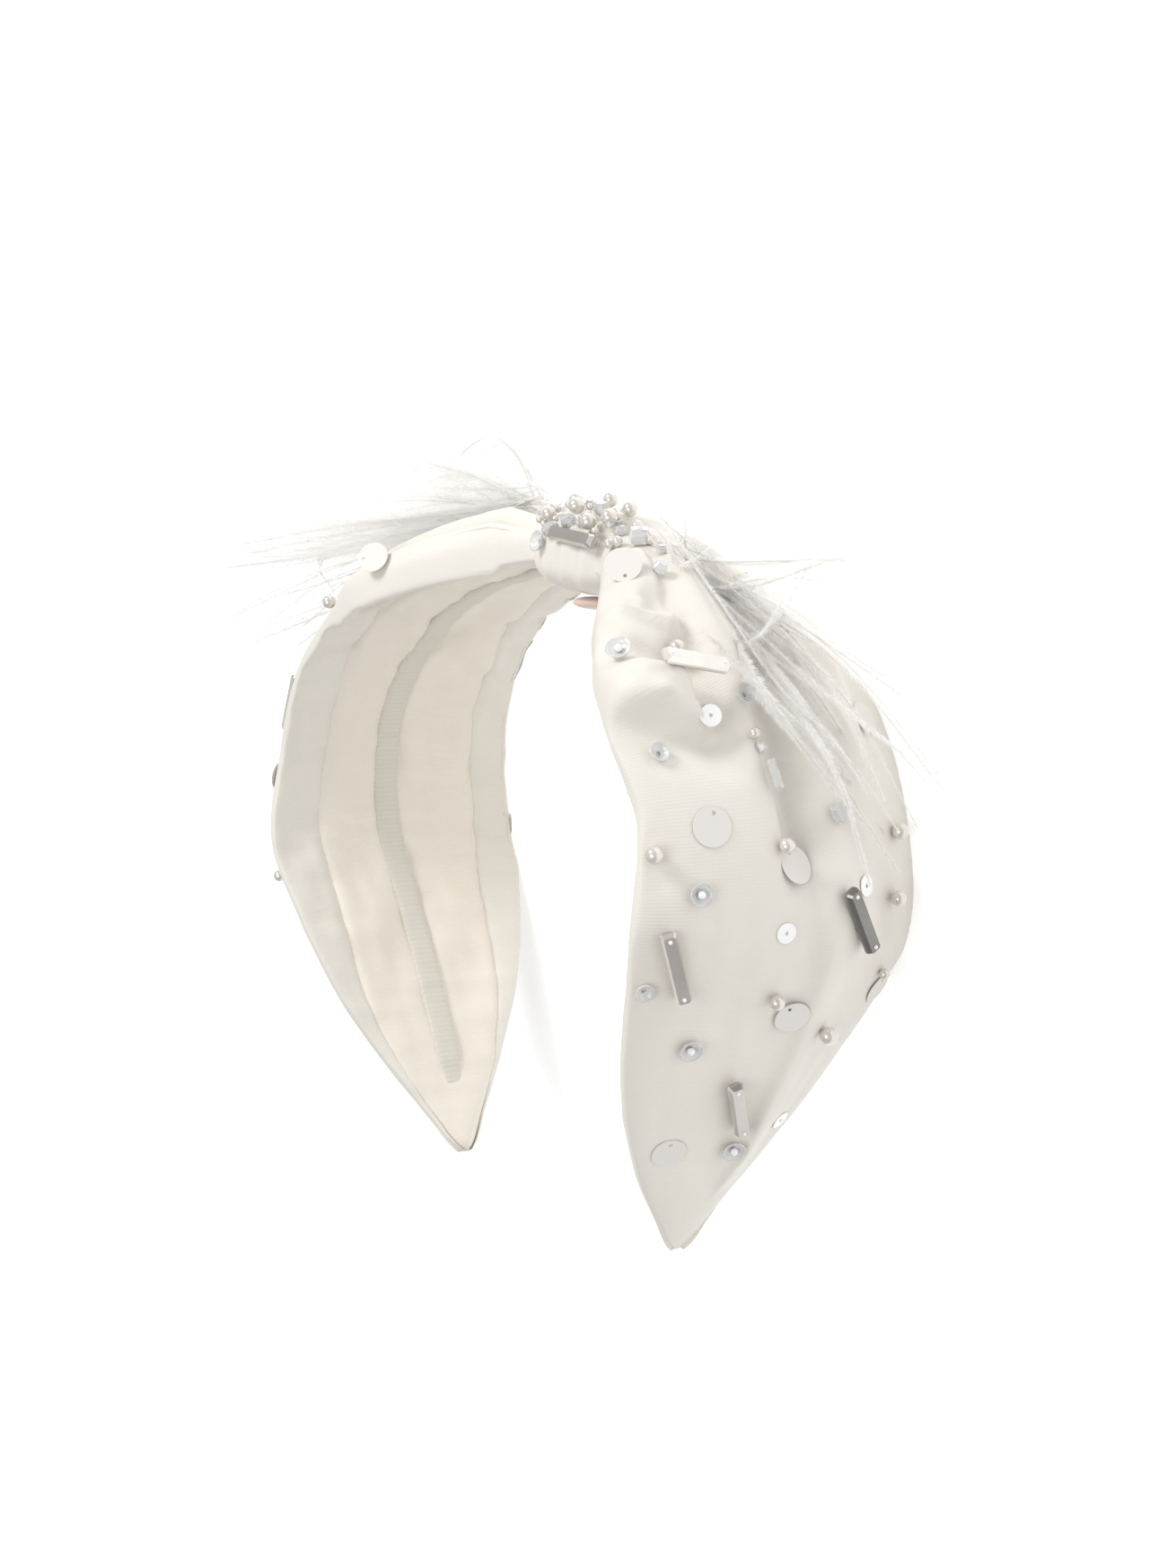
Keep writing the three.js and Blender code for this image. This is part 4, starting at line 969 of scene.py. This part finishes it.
def trims():
    """Sewn-on trims, one mesh for each group, and the small beads that hold them."""
    beads = []
    for kind, (words, look, slot) in TRIMS.items():
        members = [n for n in sorted(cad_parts) if n.replace("left_", "").split("_")[0] in words]
        parts, tones = [], []
        for k, name in enumerate(members):
            pose, (long, wide, high), hole = pose_of(name)
            if slot == "disc":
                shape = disc_shape(long / 2 * FLAT_OVER, hole)
            elif kind == "cup":
                shape = cup_shape(long / 2 * FLAT_OVER)
                beads.append(seated(moved(ball(CUP_BEAD["radius"], *SMALL), 0, 0, CUP_BEAD["height"]), pose))
            elif kind == "pearl":
                shape = moved(ball(long / 2 * PEARL_OVER), 0, 0, high / 2)
            else:
                shape = bar_shape(long, wide, high)
            if kind == "bar":
                # Each bar gets painted reflections: lighter and darker tones on its facets
                tones += painted_facet_reflections(shape[1], name, BAR_SEED + k)
                for end in (-1, 1):
                    out_there = end * (long / 2 - BAR_BEAD["inset"])
                    beads.append(seated(moved(ball(BAR_BEAD["radius"], *TINY), out_there, 0, high), pose))
            parts.append(seated(shape, pose))
        made = solid_mesh("trim_" + kind, parts, smooth=kind in ("cup", "pearl"), tones=tones)
        finish_piece(made, look, slot, *members)
    finish_piece(solid_mesh("stitch_beads", beads), WHITE, "pearl")


# Cluster on the knot: kind, place along the wrap, angle round it, size, turn
CLUSTER = [
    ("bar", 4.4, 157, 12.6, 1), ("stone", -2.6, 154, 2.8, 20), ("stone", 0.6, 141, 2.4, 40),
    ("stone", -8.6, 130, 3.0, 25), ("stone", 3.4, 110, 2.6, 15), ("cup", -5.6, 167, 1.8, 0),
    ("pearl", -5.4, 138, 1.3, 0), ("pearl", -0.8, 122, 1.4, 0), ("pearl", 6.4, 138, 1.4, 0),
    ("pearl", 9.0, 124, 1.4, 0), ("pearl", 8.2, 98, 1.3, 0), ("pearl", -4.6, 108, 1.3, 0),
    ("pearl", 0.0, 88, 1.3, 0),
]
# Small beads sewn beside the knot and between the trims: kind, arch position, share of the half width, size
LOOSE = [
    ("cup", 0.110, -0.37, 1.6), ("stone", 0.168, -0.45, 3.4), ("pearl", 0.150, -0.85, 0.9),
    ("pearl", 0.156, -0.76, 0.9), ("pearl", 0.175, -0.32, 1.0), ("stone", 0.236, -0.48, 2.2),
    ("cup", 0.389, -0.16, 1.6), ("pearl", 0.425, -0.17, 0.9), ("stone", 0.437, -0.15, 1.8),
    ("cup", 0.432, -0.81, 1.6), ("cup", 0.655, -0.95, 1.5), ("pearl", 0.659, 0.81, 0.9),
    ("pearl", 0.393, -0.41, 0.8), ("stone", 0.132, -0.60, 2.0), ("pearl", 0.138, -0.30, 1.0),
    ("stone", 0.205, -0.30, 1.8),
]
SEEDS = {"count": 30, "along": (-9.5, 10.0), "angle": (90.0, 150.0), "radius": (0.45, 0.8), "chance": 301}
# Seed stones: width and height over the radius, corner, table and lift; loose stones: height over size
# and table
SEED_STONE, LOOSE_STONE = (1.6, 1.5, 0.2, 0.25, 0.2), (0.7, 0.3)
STONE_WIDE, KNOT_BAR_WIDE, KNOT_BAR_SEED = 0.8, 2.4, 99


def wrap_pose(along, angle, turn):
    """Foot and axes of a bead on the wrap, in the row frame."""
    angle, spin = math.radians(angle), math.radians(turn)
    off = wrap_full(along) + WRAP["seat"]
    origin = wrap_point(along, angle, off)
    ahead = unit(wrap_point(along + NUDGE, angle, off) - origin)
    out = np.cross(ahead, unit(wrap_point(along, angle + NUDGE_ANGLE, off) - origin))
    centre = arch_at(np.array(KNOT["at"]))[0] + np.array([0.0, KNOT["back"], 0.0])
    if out @ (origin - centre) < 0:
        out = -out
    long = ahead * math.cos(spin) + np.cross(out, ahead) * math.sin(spin)
    return row(origin), LAY @ long, LAY @ np.cross(out, long), LAY @ out


def bead(kind, size, rings=16, sides=24):
    """Pearl or cup on its foot."""
    return cup_shape(size) if kind == "cup" else moved(ball(size, rings, sides), 0, 0, size)


def knot_cluster():
    """Close cluster on the knot with the loose beads beside it, one mesh for each kind."""
    parts, tones = {"pearl": [], "stone": [], "bar": [], "cup": []}, []
    for kind, along, angle, size, turn in CLUSTER:
        if kind in ("pearl", "cup"):
            shape = bead(kind, size)
        else:
            shape = bar_shape(size, KNOT_BAR_WIDE if kind == "bar" else size * STONE_WIDE)
        if kind == "bar":
            # The knot's bar gets painted reflections: lighter and darker tones on its facets
            tones += painted_facet_reflections(shape[1], "knot_bar", KNOT_BAR_SEED)
        parts[kind].append(seated(shape, wrap_pose(along, angle, turn)))
    chance = np.random.default_rng(SEEDS["chance"])
    for k in range(SEEDS["count"]):
        pose = wrap_pose(chance.uniform(*SEEDS["along"]), chance.uniform(*SEEDS["angle"]), 0)
        radius = chance.uniform(*SEEDS["radius"])
        if k % 2:
            parts["pearl"].append(seated(bead("pearl", radius, *TINY), pose))
        else:
            wide, high, corner, table, lift = SEED_STONE
            shape = bar_shape(2 * radius, wide * radius, high * radius, corner, table)
            parts["stone"].append(seated(moved(shape, 0, 0, lift), pose))
    for kind, share, place, size in LOOSE:
        at = np.array([share]), np.array([math.acos(place)])
        spot, outer = row(skin(*at, fine=False)[0]), row(skin(*at, fine=False, lift=1.0)[0])
        foot, out = lie_on_satin(spot, unit(outer - spot), size, FOLLOW)
        long = unit(np.cross(out, FORWARD))
        if kind == "stone":
            high, table = LOOSE_STONE
            shape = bar_shape(size, STONE_WIDE * size, high * size, table=table)
        else:
            shape = bead(kind, size, *SMALL)
        parts[kind].append(seated(shape, (foot, long, np.cross(out, long), out)))
    finish_piece(solid_mesh("knot_pearls", parts["pearl"]), PEARL, "pearl", "knot_beads")
    finish_piece(solid_mesh("knot_stones", parts["stone"], smooth=False), CRYSTAL, "stone")
    finish_piece(solid_mesh("knot_cups", parts["cup"]), CLEAR, "cup")
    finish_piece(solid_mesh("knot_bar", parts["bar"], smooth=False, tones=tones), FOIL, "bar")


# Strands of a plume: length of the barbs in mm, barbs for each mm of stem, how far a strand strays from its
# frond and how wavy it is
STRANDS = {
    "frond": {"barb": 1.5, "dense": 44, "spread": 1.8, "wave": 1.1},
    "veil": {"barb": 9.0, "dense": 12, "spread": 3.0, "wave": 0.8},
}
# Plumes: root as arch position and share of the half width, how far its strands start apart, and the fronds:
# kind, number of strands, and the middle place and tip that they bend to, in worn mm
PLUMES = {
    "plume_right": {"root": (0.19, -0.1), "apart": 2.2, "fronds": [
        ("frond", 2, (46, 5, 48), (58, 17, 49)),
        ("frond", 2, (43, 1, 44), (57, 16, 48)),
        ("frond", 2, (54, 0, 38), (52, 15, 48)),
        ("frond", 2, (43, -2, 45), (43, 6, 46)),
        ("frond", 2, (55, 6, 40), (81, 17, 25)),
        ("frond", 2, (62, 8, 36), (80, 17, 17)),
        ("frond", 2, (58, 2, 35), (77, 17, 16)),
        ("frond", 2, (62, 8, 32), (75, 17, 10)),
        ("frond", 2, (53, 4, 39), (62, 11, 29)),
        ("frond", 2, (62, 3, 29), (67, 18, 9)),
        ("frond", 3, (65, -3, 26), (69, 15, 8)),
        ("frond", 2, (67, 2, 23), (73, 8, 3)),
        ("frond", 2, (66, 2, 24), (70, 17, 0)),
        ("frond", 2, (60, 6, 32), (66, 20, 10)),
        ("frond", 2, (61, -4, 31), (68, 8, 20)),
        ("frond", 2, (58, 8, 37), (72, 15, 20)),
        ("frond", 3, (40, 0, 48), (50, 8, 42))]},
    "plume_left": {"root": (-0.05, -0.1), "apart": 1.6, "fronds": [
        ("frond", 3, (-19, -1, 67), (-34, -4, 58)),
        ("veil", 3, (-19, -4, 61), (-33, -7, 64)),
        ("veil", 3, (-30, -5, 62), (-49, -9, 60)),
        ("veil", 3, (-36, -6, 59), (-62, -11, 56)),
        ("veil", 3, (-42, -7, 57), (-76, -15, 53)),
        ("veil", 3, (-50, -9, 53), (-92, -20, 50)),
        ("veil", 3, (-48, -10, 50), (-86, -21, 47)),
        ("veil", 2, (-50, -12, 48), (-80, -24, 43)),
        ("veil", 2, (-50, -14, 46), (-72, -28, 36)),
        ("frond", 4, (-52, -9, 53), (-93, -20, 49)),
        ("frond", 4, (-52, -12, 49), (-86, -23, 45)),
        ("frond", 3, (-50, -14, 46), (-74, -29, 36)),
        ("frond", 2, (-50, -14, 46), (-62, -26, 36)),
        ("frond", 3, (-48, -20, 39), (-79, -32, 28)),
        ("frond", 2, (-58, -14, 46), (-48, -18, 39)),
        ("frond", 2, (-44, -13, 45), (-54, -22, 35))]},
}
ROOT_LIFT, STRAND_STEPS, CURVE_STEPS, PLUME_SEED, OVER_FLOOR = 1.2, 40, 160, 200, 0.3
# How strands differ: reach of all but a frond's first, stray of the first, and pace and phase of their ripple
STRAY = {"reach": (0.7, 1.0), "first": 0.35, "pace": (3.0, 8.0), "phase": (0.0, 6.0)}
# Radius of a stem at its foot and tip, its lean and its twist
STEM, STEM_LEAN, STEM_TWIST = (0.16, 0.05), 0.5, 1.2
# Barbs: half width at the foot, first place on the stem, crowding to the tip, spread of lengths, lean, curl,
# and how their length changes along the strand
BARB = {
    "half": 0.034, "first": 0.03, "crowd": 0.8, "by_strand": (0.75, 1.25), "by_barb": (0.55, 1.1),
    "lean": (0.45, 0.8), "curl": 0.25, "least": 0.35, "more": 0.75, "skew": 0.9, "round": 0.7,
}


def through(points, t):
    """Smooth curve through points, at shares of its length."""
    points = np.asarray(points, float)
    ends = np.concatenate([[2 * points[0] - points[1]], points, [2 * points[-1] - points[-2]]])
    k = np.linspace(0, len(points) - 1, CURVE_STEPS)
    i = np.minimum(k.astype(int), len(points) - 2)
    f = (k - i)[:, None]
    a, b, c, d = ends[i], ends[i + 1], ends[i + 2], ends[i + 3]
    curve = 0.5 * (2 * b + (c - a) * f + (2 * a - 5 * b + 4 * c - d) * f**2 + (3 * b - a - 3 * c + d) * f**3)
    arc = np.concatenate([[0.0], np.cumsum(np.linalg.norm(np.diff(curve, axis=0), axis=1))])
    return np.stack([np.interp(t * arc[-1], arc, line) for line in curve.T], axis=-1)


def strand_paths(spec, chance):
    """Kinds and centre lines of a plume's strands: a frond's first follows it and the others stray."""
    root_u, root_v = spec["root"]
    root = skin(np.array([root_u]), np.array([math.acos(root_v)]), fine=False)[0]
    root = root + ROOT_LIFT * arch_at(np.array(root_u))[1]
    t = np.linspace(0, 1, STRAND_STEPS)
    paths = []
    for kind, strands, middle, tip in spec["fronds"]:
        look = STRANDS[kind]
        for k in range(strands):
            reach = 1.0 if k == 0 else chance.uniform(*STRAY["reach"])
            start = root + chance.normal(0, spec["apart"], 3)
            path = through([start, middle, tip], t * reach)
            off = chance.normal(0, look["spread"], (2, 3)) * (STRAY["first"] if k == 0 else 1.0)
            path = path + off[0] * t[:, None] + off[1] * (t**2)[:, None]
            pace, phase = chance.uniform(*STRAY["pace"]), chance.uniform(*STRAY["phase"])
            wave = np.sin(t * pace + phase) * t * look["wave"]
            paths.append((kind, path + wave[:, None] * chance.normal(0, 1, 3)))
    return paths


def strand(path, kind, chance):
    """Points and triangles of one strand: a thin stem and a fringe of fine barbs on both sides."""
    steps = len(path)
    look = STRANDS[kind]
    length = float(np.linalg.norm(np.diff(path, axis=0), axis=1).sum())
    forward = unit(np.gradient(path, axis=0))
    guide = np.array([chance.normal(0, STEM_LEAN), 1.0, chance.normal(0, STEM_LEAN)])
    across = unit(np.cross(forward, guide))
    other = np.cross(forward, across)
    spin = chance.uniform(0, math.tau) + np.linspace(0, chance.normal(0, STEM_TWIST), steps)
    flat = across * np.cos(spin)[:, None] + other * np.sin(spin)[:, None]
    upright = np.cross(forward, flat)
    thick = np.linspace(*STEM, steps)[:, None]
    corners = np.arange(3) / 3 * math.tau
    stem = np.stack([path + thick * (flat * math.cos(c) + upright * math.sin(c)) for c in corners], axis=1)
    quads = grid_faces(steps, 3, loop=True)
    barbs = int(length * look["dense"])
    at = chance.uniform(BARB["first"], 1.0, barbs) ** BARB["crowd"] * (steps - 1)
    k = np.minimum(at.astype(int), steps - 2)
    base = lerp(path[k], path[k + 1], (at - k)[:, None])
    share = at / (steps - 1)
    # Longest near the middle of the strand and shorter at both ends
    full = BARB["least"] + BARB["more"] * np.sin(math.pi * share ** BARB["skew"]) ** BARB["round"]
    size = look["barb"] * chance.uniform(*BARB["by_strand"]) * full * chance.uniform(*BARB["by_barb"], barbs)
    side = np.where(chance.uniform(size=barbs) < 0.5, -1.0, 1.0)[:, None]
    lean = chance.uniform(*BARB["lean"], barbs)[:, None]
    curl = chance.normal(0, BARB["curl"], barbs)[:, None]
    heading = unit(forward[k] * np.cos(lean) + side * flat[k] * np.sin(lean) + upright[k] * curl)
    wide = np.cross(heading, upright[k]) * BARB["half"]
    fringe = np.stack([base - wide, base + wide, base + heading * size[:, None]], axis=1)
    points = np.concatenate([stem.reshape(-1, 3), fringe.reshape(-1, 3)])
    triangles = np.concatenate([quads[:, [0, 1, 2]], quads[:, [0, 2, 3]],
                                3 * steps + np.arange(3 * barbs).reshape(barbs, 3)])
    return points, triangles


def plume(name, seed):
    """Tuft of feather strands in one mesh."""
    chance = np.random.default_rng(seed)
    parts = []
    for kind, path in strand_paths(PLUMES[name], chance):
        points, triangles = strand(path, kind, chance)
        points = row(points)
        points[:, 2] = np.maximum(points[:, 2], OVER_FLOOR * MM)
        parts.append((points, triangles))
    return add_mesh(name + "_strands", parts)


# Build
for side, word in ((1, "right"), (-1, "left")):
    satin_piece, satin_area = cover("satin_" + word, side)
    finish_piece(satin_piece, IVORY, "satin", "cover_" + word)
    panel, panel_area = lining("panel_" + word, side)
    finish_piece(panel, INNER, "lining", "lining_" + word)
finish_piece(ribbon("ribbon_band"), GROSGRAIN, "ribbon", "inner_ribbon")
loop = finish_piece(wrap("knot_loop"), IVORY, "satin", "knot_wrap")
blush = finish_piece(pad("blush_pad"), BLUSH, "blush", "knot_pad")
trims()
knot_cluster()
for k, name in enumerate(PLUMES):
    finish_piece(plume(name, PLUME_SEED + k), DOWN, "feather", name)

# Floor, light and camera
FLOOR_HALF = 12.0
SKY = 0.5
AIM = (0.0, 0.0, 0.025)


def floor():
    """Wide pale floor that glows a little."""
    corners = [(-FLOOR_HALF, -FLOOR_HALF, 0), (FLOOR_HALF, -FLOOR_HALF, 0)]
    corners += [(FLOOR_HALF, FLOOR_HALF, 0), (-FLOOR_HALF, FLOOR_HALF, 0)]
    mesh = bpy.data.meshes.new("floor")
    mesh.from_pydata(corners, [], [(0, 1, 2, 3)])
    mesh.materials.append(speckled(
        "pale_floor", (0.80, 0.80, 0.80), (0.795, 0.795, 0.795), rough=0.9, scale=3.0,
        Specular_IOR_Level=0.05, Emission_Color=(1.0, 1.0, 1.0, 1.0), Emission_Strength=0.44))
    return linked("floor", mesh)


def lamp(name, place, size, watts):
    """Square light, aimed at the middle of the part."""
    light = bpy.data.lights.new(name, "AREA")
    light.energy = watts
    light.size = size
    obj = linked(name, light)
    obj.location = place
    obj.rotation_euler = (Vector(AIM) - Vector(place)).to_track_quat("-Z", "Y").to_euler()
    return obj


ground = floor()
world = bpy.data.worlds.new("studio")
SCENE.world = world
world.use_nodes = True
filled(world.node_tree.nodes["Background"], {"Color": (1.0, 1.0, 1.0, 1.0), "Strength": SKY})
lights = [
    lamp("key", (-0.10, 0.90, 0.90), size=0.45, watts=9.4),
    lamp("top", (0.45, 0.0, 0.95), size=0.6, watts=3.2),
]


def camera():
    """Camera at the photo's angle to the worn band."""
    c = CAMERA
    a, e = math.radians(c["azimuth"]), math.radians(c["elevation"])
    right = np.array([math.cos(a), math.sin(a), 0.0])
    up = np.array([-math.sin(a) * math.sin(e), math.cos(a) * math.sin(e), math.cos(e)])
    back = np.array([math.sin(a) * math.cos(e), -math.cos(a) * math.cos(e), math.sin(e)])
    place = row(np.array([0.0, 0.0, c["height"]]) + c["distance"] * back)
    data = bpy.data.cameras.new("camera")
    data.sensor_width = c["sensor"]
    data.lens = c["focal_px"] * c["sensor"] / PHOTO["height"]
    data.shift_x = (PHOTO["width"] / 2 - c["axis_px"]) / PHOTO["height"]
    data.clip_start = c["near"]
    obj = linked("camera", data)
    turn = np.eye(4)
    for k, axis in enumerate((right, up, back)):
        turn[:3, k] = LAY @ axis
    turn[:3, 3] = place
    obj.matrix_world = Matrix(turn.tolist())
    SCENE.camera = obj


camera()
SCENE.view_settings.view_transform = "Standard"
SCENE.view_settings.look = "None"
